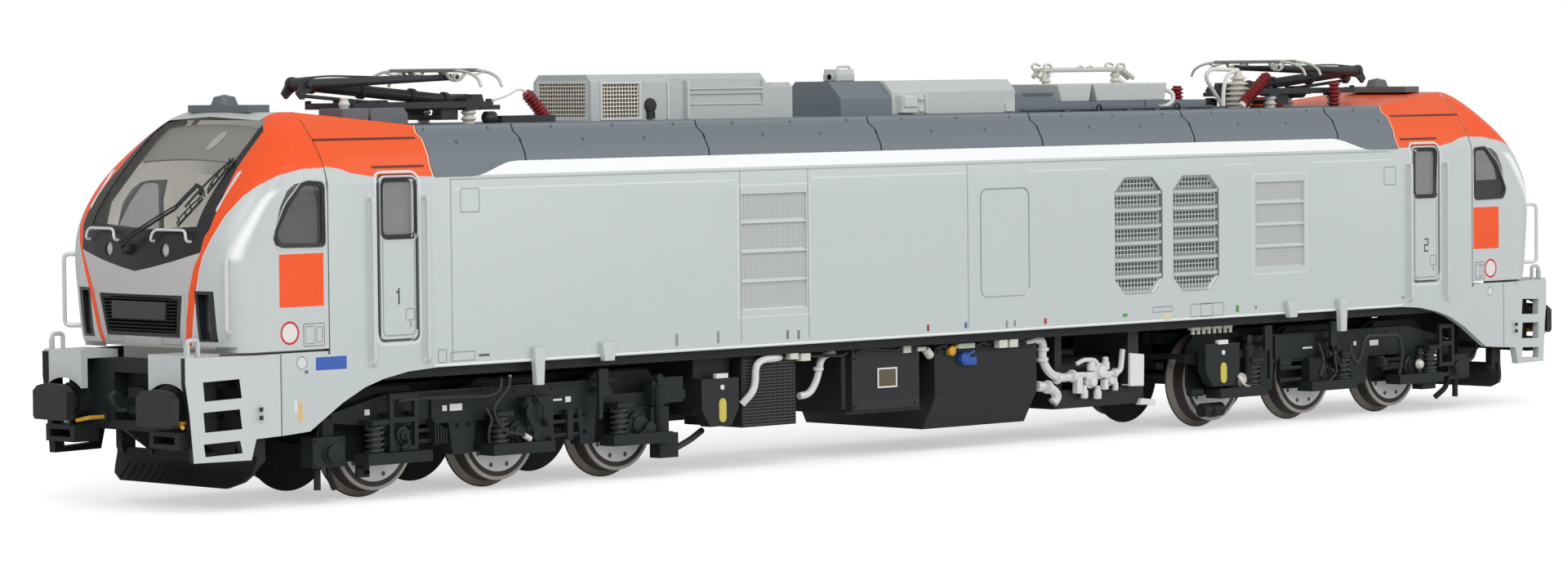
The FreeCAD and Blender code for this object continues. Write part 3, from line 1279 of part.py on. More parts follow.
parts["cooling_cowls"] = cooling_cowls()
parts["roof_cabinets"] = Part.makeCompound(roof_cabinets())
parts["roof_fairings"] = Part.makeCompound(roof_fairings())
parts["roof_insulators"] = Part.makeCompound(roof_insulators() + [at_end(s, end) for end in (1, 2)
                                                                 for s in panto_insulators()])
parts["high_voltage_bar"] = high_voltage_bar()
parts["arresters"] = Part.makeCompound(arresters())
parts["antennas"] = Part.makeCompound(antennas())

for end in (1, 2):
    parts["pantograph_base_%d" % end] = at_end(panto_base(), end)
    parts["pantograph_lower_arm_%d" % end] = at_end(lower_arm(), end)
    parts["pantograph_upper_arm_%d" % end] = at_end(upper_arm(), end)
    parts["pantograph_rod_%d" % end] = at_end(guide_rod(), end)
    parts["pantograph_head_%d" % end] = at_end(collector_head(), end)

bogie_parts = {"bogie_frame": bogie_frame(), "bogie_springs": Part.makeCompound(bogie_springs()),
               "bogie_gear": Part.makeCompound(bogie_gear())}
for name, shape in bogie_parts.items():
    shape.translate(Vector(-pivot_x, 0, 0))
    for end in (1, 2):
        parts["%s_%d" % (name, end)] = at_end(shape, end)
for i in range(6):
    wheels = wheelset()
    wheels.translate(Vector((-pivot_x, pivot_x)[i // 3] + (i % 3 - 1) * axle_spacing, 0, 0))
    parts["wheelset_%d" % (i + 1)] = wheels

os.makedirs("parts", exist_ok=True)
for name, shape in parts.items():
    shape.exportStep("parts/%s.step" % name)
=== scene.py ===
"""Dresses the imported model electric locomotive: paint, glass, bare metal, the fine parts of roof, ends and bogies.

Places are millimetres in the model's own frame: +x towards cab 2, -y the photographed side, z up from the floor."""

import math

import bmesh
import bpy
import numpy as np
from mathutils import Matrix, Vector
from mathutils.bvhtree import BVHTree
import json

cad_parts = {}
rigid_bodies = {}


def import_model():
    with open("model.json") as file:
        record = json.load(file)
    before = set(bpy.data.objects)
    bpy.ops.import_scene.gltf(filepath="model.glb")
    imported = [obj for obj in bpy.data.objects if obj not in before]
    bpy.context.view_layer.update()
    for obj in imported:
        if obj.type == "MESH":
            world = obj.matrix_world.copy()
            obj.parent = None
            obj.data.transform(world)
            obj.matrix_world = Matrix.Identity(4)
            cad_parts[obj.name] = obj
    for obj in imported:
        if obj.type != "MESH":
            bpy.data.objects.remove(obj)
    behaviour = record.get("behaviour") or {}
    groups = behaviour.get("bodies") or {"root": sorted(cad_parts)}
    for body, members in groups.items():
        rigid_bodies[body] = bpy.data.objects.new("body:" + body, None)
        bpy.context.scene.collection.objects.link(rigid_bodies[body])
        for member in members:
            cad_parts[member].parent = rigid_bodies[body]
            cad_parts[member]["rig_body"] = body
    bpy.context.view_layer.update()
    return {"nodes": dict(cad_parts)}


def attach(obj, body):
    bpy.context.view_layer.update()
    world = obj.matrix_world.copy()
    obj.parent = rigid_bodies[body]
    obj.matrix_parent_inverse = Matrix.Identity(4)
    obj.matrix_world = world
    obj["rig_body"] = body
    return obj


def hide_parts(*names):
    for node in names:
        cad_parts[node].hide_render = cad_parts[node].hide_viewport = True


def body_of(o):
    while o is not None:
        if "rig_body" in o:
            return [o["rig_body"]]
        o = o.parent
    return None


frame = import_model()
mm = 0.001

UP, ALONG, NEAR = (0, 0, 1), (1, 0, 0), (0, -1, 0)
LOCOMOTIVE, BOGIES = ("locomotive", "locomotive"), ("bogie_1", "bogie_2")
HALF_WIDTH = 16.3
AXLE_HEIGHT, AXLE_PITCH, BOGIE_CENTRE = 7.03, 20.15, 78.0
AXLES = [-BOGIE_CENTRE + k * AXLE_PITCH for k in (-1, 0, 1)]
SKIN_ANGLE = 28  # degrees: sharper folds of the painted skins stay sharp
PANTOGRAPH_X = 75.5  # of the lower arm's joint
FRONT_X = -126.0  # of places that are carried along x onto the nose

# the camera: where it stands as seen from its aim, in degrees, then the aim and the distance
AZIMUTH, ELEVATION, ROLL = -43.767, 2.469, -0.605
AIM, DISTANCE = (-18.116, 0.0, 22.782), 695.774
FOCAL_LENGTH, SENSOR_WIDTH = 117.66, 36.0
SURROUND_LIGHT, SURROUND_SEEN = 0.62, 1.0
FLOOR_GLOW_SEEN = 0.5


# ---- camera, light and floor ----


def place_camera():
    """A long lens from the left front corner. back, (sin a cos e, -cos a cos e, sin e), points from the aim to it."""
    azimuth, elevation, roll = np.radians((AZIMUTH, ELEVATION, ROLL))
    back = np.array((np.sin(azimuth) * np.cos(elevation), -np.cos(azimuth) * np.cos(elevation), np.sin(elevation)))
    right = np.array((np.cos(azimuth), np.sin(azimuth), 0.0))
    up = np.cross(back, right)
    across = right * np.cos(roll) + up * np.sin(roll)
    upright = -right * np.sin(roll) + up * np.cos(roll)
    place = np.array(AIM) * mm + back * DISTANCE * mm
    turn = np.eye(4)
    turn[:3, 0], turn[:3, 1], turn[:3, 2], turn[:3, 3] = across, upright, back, place
    lens = bpy.data.cameras.new("studio_camera")
    lens.lens, lens.sensor_width, lens.clip_start, lens.clip_end = FOCAL_LENGTH, SENSOR_WIDTH, 0.02, 50.0
    camera = bpy.data.objects.new("studio_camera", lens)
    camera.matrix_world = Matrix(turn.tolist())
    bpy.context.collection.objects.link(camera)
    bpy.context.scene.camera = camera


def softbox(name, place, aim, size, power):
    """A square lamp panel at place, facing aim."""
    light = bpy.data.lights.new(name, "AREA")
    light.size, light.energy = size, power
    lamp = bpy.data.objects.new(name, light)
    lamp.location = place
    lamp.rotation_euler = (Vector(place) - Vector(aim)).to_track_quat("Z", "Y").to_euler()
    bpy.context.collection.objects.link(lamp)


def seen_strength(tree, kinds, unseen, seen, socket):
    """One strength where these kinds of ray look at the surface, and another where it only gives light."""
    rays = tree.nodes.new("ShaderNodeLightPath")
    look = rays.outputs[kinds[0]]
    for kind in kinds[1:]:
        larger = tree.nodes.new("ShaderNodeMath")
        larger.operation = "MAXIMUM"
        tree.links.new(look, larger.inputs[0])
        tree.links.new(rays.outputs[kind], larger.inputs[1])
        look = larger.outputs[0]
    level = tree.nodes.new("ShaderNodeMapRange")
    level.inputs["To Min"].default_value, level.inputs["To Max"].default_value = unseen, seen
    tree.links.new(look, level.inputs["Value"])
    tree.links.new(level.outputs[0], socket)


def studio():
    """A white surround that lights softly, two softboxes and a pale floor that keeps the shadow."""
    world = bpy.data.worlds.new("studio_surround")
    bpy.context.scene.world = world
    world.use_nodes = True
    background = world.node_tree.nodes["Background"]
    background.inputs["Color"].default_value = (1, 1, 1, 1)
    seen_strength(world.node_tree, ("Is Camera Ray", "Is Transmission Ray"), SURROUND_LIGHT, SURROUND_SEEN,
                  background.inputs["Strength"])
    softbox("key_softbox", (-0.75, -1.05, 0.95), (0, 0, 0.03), 0.9, 9.0)
    softbox("side_softbox", (0.75, -1.2, 0.55), (0.03, 0, 0.02), 0.8, 3.6)

    floor = bpy.data.meshes.new("pale_floor")
    floor.from_pydata([(-9, -9, 0), (9, -9, 0), (9, 9, 0), (-9, 9, 0)], [], [(0, 1, 2, 3)])
    ground = bpy.data.objects.new("pale_floor", floor)
    ground.location.z = -0.02 * mm
    bpy.context.collection.objects.link(ground)
    paper = bpy.data.materials.new("white_paper")
    paper.use_nodes = True
    sheet = paper.node_tree.nodes["Principled BSDF"]
    sheet.inputs["Base Color"].default_value = (0.8, 0.8, 0.8, 1)
    sheet.inputs["Roughness"].default_value = 0.9
    sheet.inputs["Specular IOR Level"].default_value = 0.1
    sheet.inputs["Emission Color"].default_value = (1, 1, 1, 1)
    seen_strength(paper.node_tree, ("Is Camera Ray",), 0.0, FLOOR_GLOW_SEEN, sheet.inputs["Emission Strength"])
    floor.materials.append(paper)


# ---- finishes ----


def shade(red, green, blue):
    """A colour as it looks on the screen, 0 to 255, as the linear values that a shader takes."""
    look = np.array((red, green, blue)) / 255.0
    return tuple(np.where(look <= 0.04045, look / 12.92, ((look + 0.055) / 1.055) ** 2.4).tolist()) + (1.0,)


class Wire:
    """A value on its way through a finish. Sums on it add Math nodes."""

    def __init__(self, finish, socket):
        self.finish, self.socket = finish, socket

    def __add__(self, other):
        return self.finish.math("ADD", self, other)

    __radd__ = __add__

    def __sub__(self, other):
        return self.finish.math("SUBTRACT", self, other)

    def __rsub__(self, other):
        return self.finish.math("SUBTRACT", other, self)

    def __mul__(self, other):
        return self.finish.math("MULTIPLY", self, other)

    __rmul__ = __mul__

    def __abs__(self):
        return self.finish.math("ABSOLUTE", self)


class Finish:
    """A material of nodes on a Principled shader. Its places x, y, z are millimetres in the model's own frame, and a
    mask is 0 to 1. Every finish has a fine grain in colour, gloss and relief, and more layers go over it."""

    def __init__(self, name, colour, rough=0.42, metal=0.0, mottle=0.05, grain=1.6,
                 relief=0.0015, specular=0.5, **settings):
        self.material = bpy.data.materials.new(name)
        self.material.use_nodes = True
        self.tree = self.material.node_tree
        self.shader = self.tree.nodes["Principled BSDF"]
        place = self.add("ShaderNodeVectorMath", operation="SCALE")
        place.inputs["Scale"].default_value = 1000.0
        self.link(self.add("ShaderNodeTexCoord").outputs["Object"], place.inputs[0])
        self.place = place.outputs[0]
        parts = self.add("ShaderNodeSeparateXYZ")
        self.link(self.place, parts.inputs[0])
        self.x, self.y, self.z = (Wire(self, parts.outputs[i]) for i in range(3))
        self.grain = self.noise(grain, 4.0)
        self.shader.inputs["Metallic"].default_value = metal
        self.shader.inputs["Specular IOR Level"].default_value = specular
        for socket, value in settings.items():
            self.shader.inputs[socket.replace("_", " ")].default_value = value
        self.colour = self.grained(colour, mottle)
        self.rough = self.grain * 0.12 + (rough - 0.06)
        self.height = self.noise(grain * 5, 2.0) * relief

    def add(self, kind, **settings):
        node = self.tree.nodes.new(kind)
        for name, value in settings.items():
            setattr(node, name, value)
        return node

    def link(self, value, socket):
        """A wire, a socket or a plain value into a socket."""
        if isinstance(value, Wire):
            value = value.socket
        if isinstance(value, bpy.types.NodeSocket):
            self.tree.links.new(value, socket)
        else:
            socket.default_value = value

    def math(self, operation, *values, clamp=False):
        node = self.add("ShaderNodeMath", operation=operation, use_clamp=clamp)
        for value, socket in zip(values, node.inputs):
            self.link(value, socket)
        return Wire(self, node.outputs[0])

    def noise(self, scale, detail):
        node = self.add("ShaderNodeTexNoise")
        self.link(self.place, node.inputs["Vector"])
        node.inputs["Scale"].default_value, node.inputs["Detail"].default_value = scale, detail
        return Wire(self, node.outputs["Fac"])

    def mix(self, mask, first, second, blend="MIX"):
        """The first colour, and the second over it where mask is 1."""
        node = self.add("ShaderNodeMix", data_type="RGBA", blend_type=blend)
        for value, socket in zip((mask, first, second), (node.inputs["Factor"], node.inputs[6], node.inputs[7])):
            self.link(value, socket)
        return Wire(self, node.outputs[2])

    def grained(self, colour, share):
        """A colour that the grain makes darker and lighter by a share."""
        low, high = (tuple(min(1.0, c * f) for c in shade(*colour)[:3]) + (1.0,) for f in (1 - share, 1 + share))
        return self.mix(self.grain, low, high)

    def above(self, value, edge, soft=0.05):
        """1 where value is over edge, with a soft step."""
        return self.math("MULTIPLY_ADD", value - edge, 1.0 / soft, 0.5, clamp=True)

    def between(self, value, low, high, soft=0.05):
        """1 from low to high."""
        return self.above(value, low, soft) * (1.0 - self.above(value, high, soft))

    def line(self, value, at, width, soft=0.05):
        """1 within half the width of a value."""
        return 1.0 - self.above(abs(value - at), width / 2, soft)

    def curve(self, value, points):
        """Straight runs through points (value, result)."""
        (x0, x1), (y0, y1) = ((min(p[i] for p in points), max(p[i] for p in points)) for i in (0, 1))
        node = self.add("ShaderNodeFloatCurve")
        run = node.mapping.curves[0]
        shares = [((px - x0) / (x1 - x0), (py - y0) / (y1 - y0)) for px, py in sorted(points)]
        for index, share in enumerate(shares):
            if index < 2:
                run.points[index].location = share
            else:
                run.points.new(*share)
        for point in run.points:
            point.handle_type = "VECTOR"
        node.mapping.update()
        self.link((value - x0) * (1.0 / (x1 - x0)), node.inputs["Value"])
        return Wire(self, node.outputs[0]) * (y1 - y0) + y0

    def rounded(self, u, v, box, radius):
        """Distance from a rounded rectangle's edge: box is (u low, u high, v low, v high)."""
        u0, u1, v0, v1 = box
        du = self.math("MAXIMUM", abs(u - (u0 + u1) / 2) - ((u1 - u0) / 2 - radius), 0.0)
        dv = self.math("MAXIMUM", abs(v - (v0 + v1) / 2) - ((v1 - v0) / 2 - radius), 0.0)
        return self.math("SQRT", du * du + dv * dv) - radius

    def away(self, across, up):
        """Distance in a plane."""
        return self.math("SQRT", across * across + up * up)

    def outline(self, u, v, box, radius, width):
        """1 on the edge of a rounded rectangle."""
        return self.line(self.rounded(u, v, box, radius), 0.0, width)

    def field(self, u, v, box, radius=0.1):
        """1 inside a rounded rectangle."""
        return self.inside(self.rounded(u, v, box, radius))

    def square(self, u, v, box):
        """1 inside a rectangle."""
        return self.between(u, *box[:2]) * self.between(v, *box[2:])

    def inside(self, distance, edge=0.0, soft=0.05):
        """1 where distance is under edge."""
        return 1.0 - self.above(distance, edge, soft)

    def layer(self, mask, colour, rough=None):
        """Paint over what is there, where mask is 1."""
        self.colour = self.mix(mask, self.colour, self.grained(colour, 0.03))
        if rough is not None:
            self.rough = self.rough * (1.0 - mask) + mask * rough

    def groove(self, mask, depth=0.05, shadow=0.55):
        """A cut line: lower, and darker by its shadow."""
        self.height = self.height - mask * depth
        self.colour = self.mix(mask * shadow, self.colour, (0.0, 0.0, 0.0, 1.0), "MULTIPLY")

    def done(self):
        """Ties colour, gloss and relief to the shader."""
        self.link(self.colour, self.shader.inputs["Base Color"])
        self.link(self.rough, self.shader.inputs["Roughness"])
        relief = self.add("ShaderNodeBump")
        relief.inputs["Distance"].default_value = mm
        self.link(self.height, relief.inputs["Height"])
        self.link(relief.outputs[0], self.shader.inputs["Normal"])
        return self.material


GREY, CAB_GREY, ORANGE, ROOF_ORANGE = (194, 201, 201), (196, 201, 201), (244, 82, 12), (240, 88, 24)
WHITE, SLATE = (244, 246, 247), (110, 119, 127)


def side_place(f):
    """Distance along the side as its viewer sees it: x on the photographed side, -x on the other."""
    return f.x * f.math("SIGN", f.y) * -1.0


def wall_paint():
    """Grey walls with a white stripe under the roof, orange roof ends, doors, panel joints and small marks."""
    f = Finish("wall_paint", GREY, rough=0.4, mottle=0.02, grain=0.7)
    u, z, end = side_place(f), f.z, abs(f.x)
    # the white stripe below the slate roof, and the joint under it
    f.layer(f.above(z, 39.75) * f.inside(end, 92.7), WHITE)
    f.layer(f.above(z, f.curve(end, [(92.6, 39.75), (102.9, 39.95), (105.9, 40.4), (107.7, 41.0), (109.5, 41.25),
                                     (110.3, 41.3)])) * f.above(end, 92.8), ROOF_ORANGE)
    for joint in (-90.6, -41.5, -29.2, 1.0):
        f.groove(f.line(u, joint, 0.16) * f.between(z, 17.0, 39.3), shadow=0.35)
    f.groove(f.line(z, 39.3, 0.16) * f.inside(end, 90.6), shadow=0.3)
    f.groove(f.line(end, 92.9, 0.24) * f.above(z, 39.7), shadow=0.75)
    f.layer(f.line(end, 93.15, 0.16) * f.above(z, 39.7), (240, 214, 200))
    f.groove(f.line(z, 44.5, 0.28) * f.above(end, 94.0) * f.inside(end, 110.0), 0.08, 0.85)
    f.groove(f.line(z, 41.05, 0.3) * f.between(end, 94.1, 102.5), shadow=0.85)
    f.groove(f.line(end, 110.1, 0.3) * f.above(z, 18.6), 0.08, 0.9)
    # fine mesh in the louvre fields, and a light frame round them
    for low, high, z0, z1 in ((-41.3, -29.5, 21.0, 36.5), (60.4, 71.2, 23.0, 35.7)):
        field = f.field(u, z, (low + 0.2, high - 0.2, z0 + 0.1, z1 - 0.1))
        tall = (z1 - z0) / 4
        f.layer(field, (166, 168, 171))
        f.layer(field * f.line(f.math("WRAP", u, 0.21, -0.21), 0.0, 0.17, 0.08) * 0.8, (200, 203, 204))
        f.layer(field * f.line(f.math("WRAP", z, 0.25, -0.25), 0.0, 0.12, 0.08) * 0.35, (198, 201, 202))
        f.layer(field * f.line(f.math("WRAP", z - z0, tall / 2, -tall / 2), 0.0, 0.55), (206, 211, 211))
        f.layer(f.outline(u, z, (low - 0.6, high + 0.6, z0 - 0.8, z1 + 0.9), 0.2, 0.18) * 0.6, (222, 226, 226))
    # rows of square holes in the grilles: two dark rows and a lighter one in each band
    for low, high in ((30.6, 40.4), (42.8, 52.4)):
        level = f.math("WRAP", z - 20.4, 2.329, 0.0)
        cut = (abs(u - (low + high) / 2) + abs(z - 28.55) - 11.0) * 0.7
        away = f.math("MAXIMUM", f.rounded(u, z, (low, high, 20.4, 36.7), 0.1), cut)
        holes = f.line(f.math("WRAP", u, 0.34, -0.34), 0.0, 0.48)
        holes = holes * f.line(f.math("WRAP", level - 0.55, 0.31, -0.31), 0.0, 0.46) * f.between(level, 0.3, 2.05)
        holes = holes * f.field(u, z, (low + 0.4, high - 0.4, 20.7, 36.4)) * f.inside(cut, -0.3)
        f.groove(holes * (0.6 + 0.4 * f.above(level, 0.85)), 0.1, 0.94)
        f.groove(f.line(away, 0.0, 0.16), 0.04, 0.6)
    # doors, with the number of their cab
    door = f.rounded(end, z, (96.0, 102.1, 19.8, 40.0), 0.7)
    f.layer(f.line(door, 0.45, 0.3), (216, 220, 220))
    f.groove(f.line(door, 0.0, 0.3), 0.12, 0.85)
    f.groove(f.outline(end, z, (96.55, 101.55, 20.4, 39.5), 0.6, 0.14), 0.04, 0.4)
    for box in ((-99.2, -98.95, 24.2, 26.2), (-99.5, -99.2, 25.6, 25.85), (98.6, 99.6, 24.2, 24.42),
                (98.6, 98.84, 24.2, 25.2), (98.6, 99.6, 25.1, 25.32), (99.36, 99.6, 25.2, 26.2),
                (98.6, 99.6, 26.0, 26.2)):
        f.layer(f.square(u, z, box), (52, 54, 56))
    for at in (-99.0, 99.0):
        f.groove(f.outline(u, z, (at + 1.0, at + 2.4, 22.2, 23.6), 0.3, 0.12), 0.05, 0.4)
        f.groove(f.field(u, z, (at + 1.6, at + 1.9, 21.3, 22.0)), 0.05, 0.4)
    # painted highlights: light lines where the panels are embossed, and a white line along the bottom edge of the
    # walls
    for u0, u1 in ((-90.0, -42.2), (-28.6, 0.4), (13.2, 29.0), (54.0, 60.0), (72.4, 91.0)):
        f.layer(f.line(z, 38.1, 0.14) * f.between(u, u0, u1) * 0.7, (226, 230, 230))
    f.layer(f.line(z, 16.45, 0.18) * f.inside(end, 93.5), WHITE)
    # small blank plates, signs and painted marks
    for *box, tone in (
            (-112.2, -107.4, 16.7, 18.3, (52, 92, 178)), (-115.05, -114.3, 10.6, 13.1, (214, 186, 132)),
            (-115.5, -115.15, 11.9, 13.2, (228, 230, 230)), (-7.1, -6.6, 16.9, 17.8, (150, 52, 52)),
            (0.2, 0.7, 17.0, 17.8, (58, 92, 150)), (15.9, 16.5, 16.9, 17.7, (170, 62, 58)),
            (32.0, 33.0, 17.2, 17.7, (74, 164, 78)), (56.0, 56.7, 16.9, 17.9, (66, 150, 74)),
            (-31.4, -30.9, 16.9, 18.1, (120, 124, 126)), (-33.4, -32.9, 17.0, 18.2, (120, 124, 126)),
            (8.3, 8.7, 16.7, 17.7, (132, 136, 138)), (9.9, 10.3, 16.8, 17.7, (132, 136, 138)),
            (-53.2, -52.7, 17.0, 18.6, (140, 144, 146)), (-45.9, -45.4, 17.0, 18.6, (140, 144, 146)),
            (40.6, 42.2, 16.4, 17.3, (218, 206, 160)), (60.2, 60.6, 17.2, 17.7, (120, 124, 126)),
            (93.2, 94.0, 17.4, 17.8, (150, 153, 154)), (-86.4, -84.6, 17.2, 17.5, (84, 86, 88)),
            (-113.9, -113.4, 16.4, 16.8, (92, 95, 97)), (-111.3, -110.6, 8.7, 9.0, (96, 99, 101))):
        f.layer(f.square(u, z, box), tone)
    for box in ((-92.9, -91.6, 16.7, 18.3), (-90.9, -87.0, 16.8, 17.9), (46.3, 53.4, 16.6, 18.4),
                (48.5, 51.0, 16.6, 18.4), (38.2, 42.4, 17.6, 18.3), (-89.0, -86.0, 35.2, 38.1),
                (89.4, 92.0, 34.4, 37.0)):
        f.groove(f.outline(u, z, box, 0.1, 0.14), 0.03, 0.45)
    for at, level, radius in ((-114.3, 17.7, 0.75), (114.3, 17.7, 0.6)):
        away = f.away(u - at, z - level)
        f.layer(f.inside(away, radius), (216, 219, 219))
        f.groove(f.line(away, radius, 0.14), 0.06, 0.35)
    return f.done()


def cab_paint():
    """Grey cab with a black mask round the windscreen, an orange band behind it and an orange square on each side.
    The mask's and the band's edges are curves of |y| - |x| over z, which run round the rounded corner."""
    f = Finish("cab_paint", CAB_GREY, rough=0.36, mottle=0.02, grain=0.7)
    end, half, z = abs(f.x), abs(f.y), f.z
    u = side_place(f)
    section = half - end
    flank = f.above(half, 13.0)
    rear = f.curve(z, [(17.0, -116.6), (20.6, -116.1), (23.3, -115.7), (26.8, -115.0), (29.3, -114.3), (31.0, -113.6),
                       (33.2, -111.9), (35.9, -109.5), (38.0, -106.8), (39.2, -104.4), (40.3, -101.5), (41.1, -97.6),
                       (41.4, -80.0), (48.0, -80.0)])
    front = f.curve(z, [(17.0, -117.7), (20.6, -117.35), (23.3, -117.05), (26.8, -116.4), (29.5, -115.4),
                        (31.2, -114.2), (33.2, -113.4), (34.1, -112.5), (36.3, -111.3), (38.8, -110.0),
                        (41.4, -108.4), (43.3, -106.7), (45.7, -104.5), (46.7, -104.9), (48.0, -105.2)])
    behind = f.inside(section - rear, 0.0)
    outside = f.above(section - front, 0.0)
    # nose panel, then the mask over it, then the orange band
    f.layer((1.0 - outside) * f.inside(z, 32.0), (190, 189, 188))
    f.layer(f.inside(half - (z - 21.0) * 0.2, 7.3) * f.between(z, 21.0, 26.1) * (1.0 - outside), (36, 35, 36), 0.35)
    for edge in (8.7, 9.4):
        f.groove(f.line(half, edge, 0.12) * f.between(z, 19.4, 26.6) * (1.0 - outside) * (1.0 if edge > 9 else 0.6),
                 0.04, 0.3)
    mask = f.above(z, f.curve(half, [(0.0, 28.9), (3.1, 29.4), (7.2, 30.2), (10.9, 31.1), (16.5, 32.5)]))
    mask = mask * (1.0 - outside)
    f.layer(mask, (24, 22, 22), 0.34)
    f.layer(outside * behind, ORANGE)
    f.layer(f.line(section - rear, 0.0, 0.16) * f.above(z, 20.0), (226, 224, 220))
    # roof crown
    f.layer(f.above(z, 46.9) * f.inside(half, 9.0) * f.inside(end, 116.0), (190, 196, 196))
    # side window surround
    window = f.between(z, 31.8, 39.5) * f.between(end, 110.7, 119.5)
    for corner, level, lean in ((113.5, 39.6, 1.037), (116.3, 36.9, 0.513)):
        window = window * f.above(corner + (level - z) * lean - end, 0.0)
    window = window * f.inside(end + (33.0 - z) * 0.636, 118.3) * f.above(half, 12.8)
    f.layer(window, (30, 31, 33), 0.3)
    # smoked marker lamps' black surrounds
    f.layer(f.between(half, 10.5, 13.5) * f.between(z, 20.6, 26.7) * f.above(end, 122.0), (30, 31, 33), 0.25)
    # orange square, a round and an oblong blank sign
    for low, high, z0, z1 in ((-117.6, -110.8, 24.5, 30.9), (110.3, 116.4, 24.2, 30.5)):
        f.layer(f.field(u, z, (low, high, z0, z1)) * flank, ORANGE)
    for at, level in ((-116.1, 21.4), (114.4, 21.2)):
        away = f.away(u - at, z - level)
        f.layer(f.inside(away, 1.5) * flank, (226, 222, 220))
        f.layer(f.line(away, 1.3, 0.3) * flank, (196, 44, 52))
    for low, high, z0, z1 in ((-114.0, -110.8, 19.7, 22.4), (110.6, 113.0, 19.7, 22.2)):
        f.layer(f.outline(u, z, (low, high, z0, z1), 0.2, 0.12) * flank, (120, 122, 124))
        for box in ((low + 0.3, low + 1.7, z0 + 0.3, z1 - 0.3), (high - 1.2, high - 0.3, z0 + 0.4, z1 - 0.4)):
            f.layer(f.outline(u, z, box, 0.2, 0.12) * flank, (140, 142, 144))
    # a painted highlight along the ridge that rises behind the nose rail
    ridge = f.curve(z, [(20.0, 124.1), (30.5, 123.9), (32.2, 123.3), (34.1, 122.1), (35.9, 120.8), (37.4, 119.6),
                        (38.7, 118.0)])
    f.layer(f.line(end, ridge, 1.3, 0.9) * f.between(z, 30.4, 38.6, 0.8) * f.above(half, 11.5), (244, 246, 246))
    return f.done()


def roof_paint():
    """Slate roof panels with their seams, two rows of small round marks and a lighter line along the edge, a painted
    highlight.
    """
    f = Finish("roof_slate_paint", SLATE, rough=0.46, mottle=0.03, grain=0.8)
    u = side_place(f)
    for seam in (-77.3, -45.8, -14.3, 17.2, 48.7, 80.2):
        f.groove(f.line(u, seam, 0.24), 0.08, 0.7)
    for level, shift in ((43.9, 0.0), (45.55, 4.0)):
        across, up = f.math("WRAP", u + (14.3 + shift), 5.25, -5.25), f.z - level
        spot = f.inside(f.math("SQRT", across * across + up * up * 0.6), 0.2, 0.1)
        f.groove(spot * f.inside(abs(f.x), 92.0), 0.05, 0.55)
    # a lighter line along the edge: painted highlight
    f.layer(f.line(f.z, 45.75, 0.14) * 0.6, (134, 142, 149))
    return f.done()


def roof_box_paint():
    """Light grey housings; the small boxes beside pantograph 1 are slate."""
    f = Finish("roof_box_paint", (192, 196, 195), rough=0.42, mottle=0.03)
    f.layer(f.inside(f.x, -25.0), (180, 184, 187))
    f.layer(f.inside(f.x, -85.0), (96, 102, 109))
    return f.done()


def wheel_steel():
    """Light painted disc with a ring of small holes, black ring, silver rim, tread painted dark for the shadow that
    lies on it (painted shade), steel flange: zones by the distance from the axle and along it, repeated at each axle.
    sectors."""
    holes, disc, rim, tread, hub, face = 4.25, 4.95, 5.6, 5.9, 1.7, 9.75
    f = Finish("wheel_steel", (238, 238, 236), rough=0.38, mottle=0.04)
    along = f.math("WRAP", abs(f.x) - (BOGIE_CENTRE - AXLE_PITCH), AXLE_PITCH / 2, -AXLE_PITCH / 2)
    up, half = f.z - AXLE_HEIGHT, abs(f.y)
    away = f.away(along, up)
    around = f.math("WRAP", f.math("ARCTAN2", up, along), math.pi / 10, -math.pi / 10) * holes
    f.groove(f.inside(f.away(around, away - holes), 0.3), 0.1, 0.9)
    f.layer(f.above(away, disc), (34, 33, 33), 0.4)
    f.layer(f.above(away, rim) * f.above(half, face), (186, 178, 170), 0.28)
    # the tread, painted dark: painted shade of the shadow that lies on it
    f.layer(f.above(away, rim) * f.inside(half, face), (64, 59, 56), 0.35)
    f.layer(f.above(away, tread) * f.inside(half, 8.0), (142, 134, 127), 0.3)
    f.layer(f.inside(away, hub), (60, 60, 60), 0.4)
    f.layer(f.inside(half, 7.3), (40, 38, 37), 0.5)
    return f.done()


def cab_shell_inside():
    """The pale lining of the cab, black on the pillars and the frame of the windscreen. It glows faintly in its own
    colour: painted light standing for the light that comes in through the panes.
    """
    f = Finish("cab_shell_lining", (246, 244, 238), rough=0.7, mottle=0.03, Emission_Strength=0.1)
    front = f.curve(f.z, [(17.0, -117.7), (26.8, -116.4), (31.2, -114.2), (33.2, -113.4), (36.3, -110.9),
                          (41.4, -107.3), (45.7, -103.8), (48.0, -105.2)])
    f.layer((1.0 - f.above(abs(f.y) - abs(f.x) - front, 3.2)) * f.above(f.z, 29.0), (22, 21, 21), 0.5)
    f.layer(f.above(abs(f.x), 119.5) * f.inside(f.z, 31.0), (32, 33, 35), 0.4)
    # the lining's colour is also its glow, so the black pillars hardly glow: painted light
    f.link(f.colour, f.shader.inputs["Emission Color"])
    return f.done()


def window_tint():
    """Tinted panes: darker in the cab's side windows than in the doors."""
    f = Finish("door_glass", (150, 153, 152), rough=0.06, mottle=0.02, relief=0.0)
    f.layer(f.above(abs(f.x), 106.0), (66, 70, 74))
    f.shader.inputs["Alpha"].default_value = 0.55
    f.rough = 0.06
    return f.done()


def lamp_lens():
    """Smoked marker lenses with a lighter streak, and silver headlights in the middle."""
    f = Finish("smoked_lens", (46, 46, 48), rough=0.15, mottle=0.04)
    f.layer(f.between(f.z, 21.8, 25.4, 0.6) * f.line(abs(f.y), 11.9, 0.8, 0.5), (98, 100, 102))
    f.layer(f.inside(abs(f.y), 8.5), (205, 207, 210), 0.25)
    return f.done()


def plain(name, colour, **settings):
    return Finish(name, colour, **settings).done()


def glass(name, tint, cover=0.2, rough=0.06):
    """Clear tinted plastic: the tint covers a share of what is behind it, with a gloss on top."""
    f = Finish(name, tint, rough=rough, mottle=0.01, relief=0.0)
    f.shader.inputs["Alpha"].default_value = cover
    f.rough = rough
    return f.done()


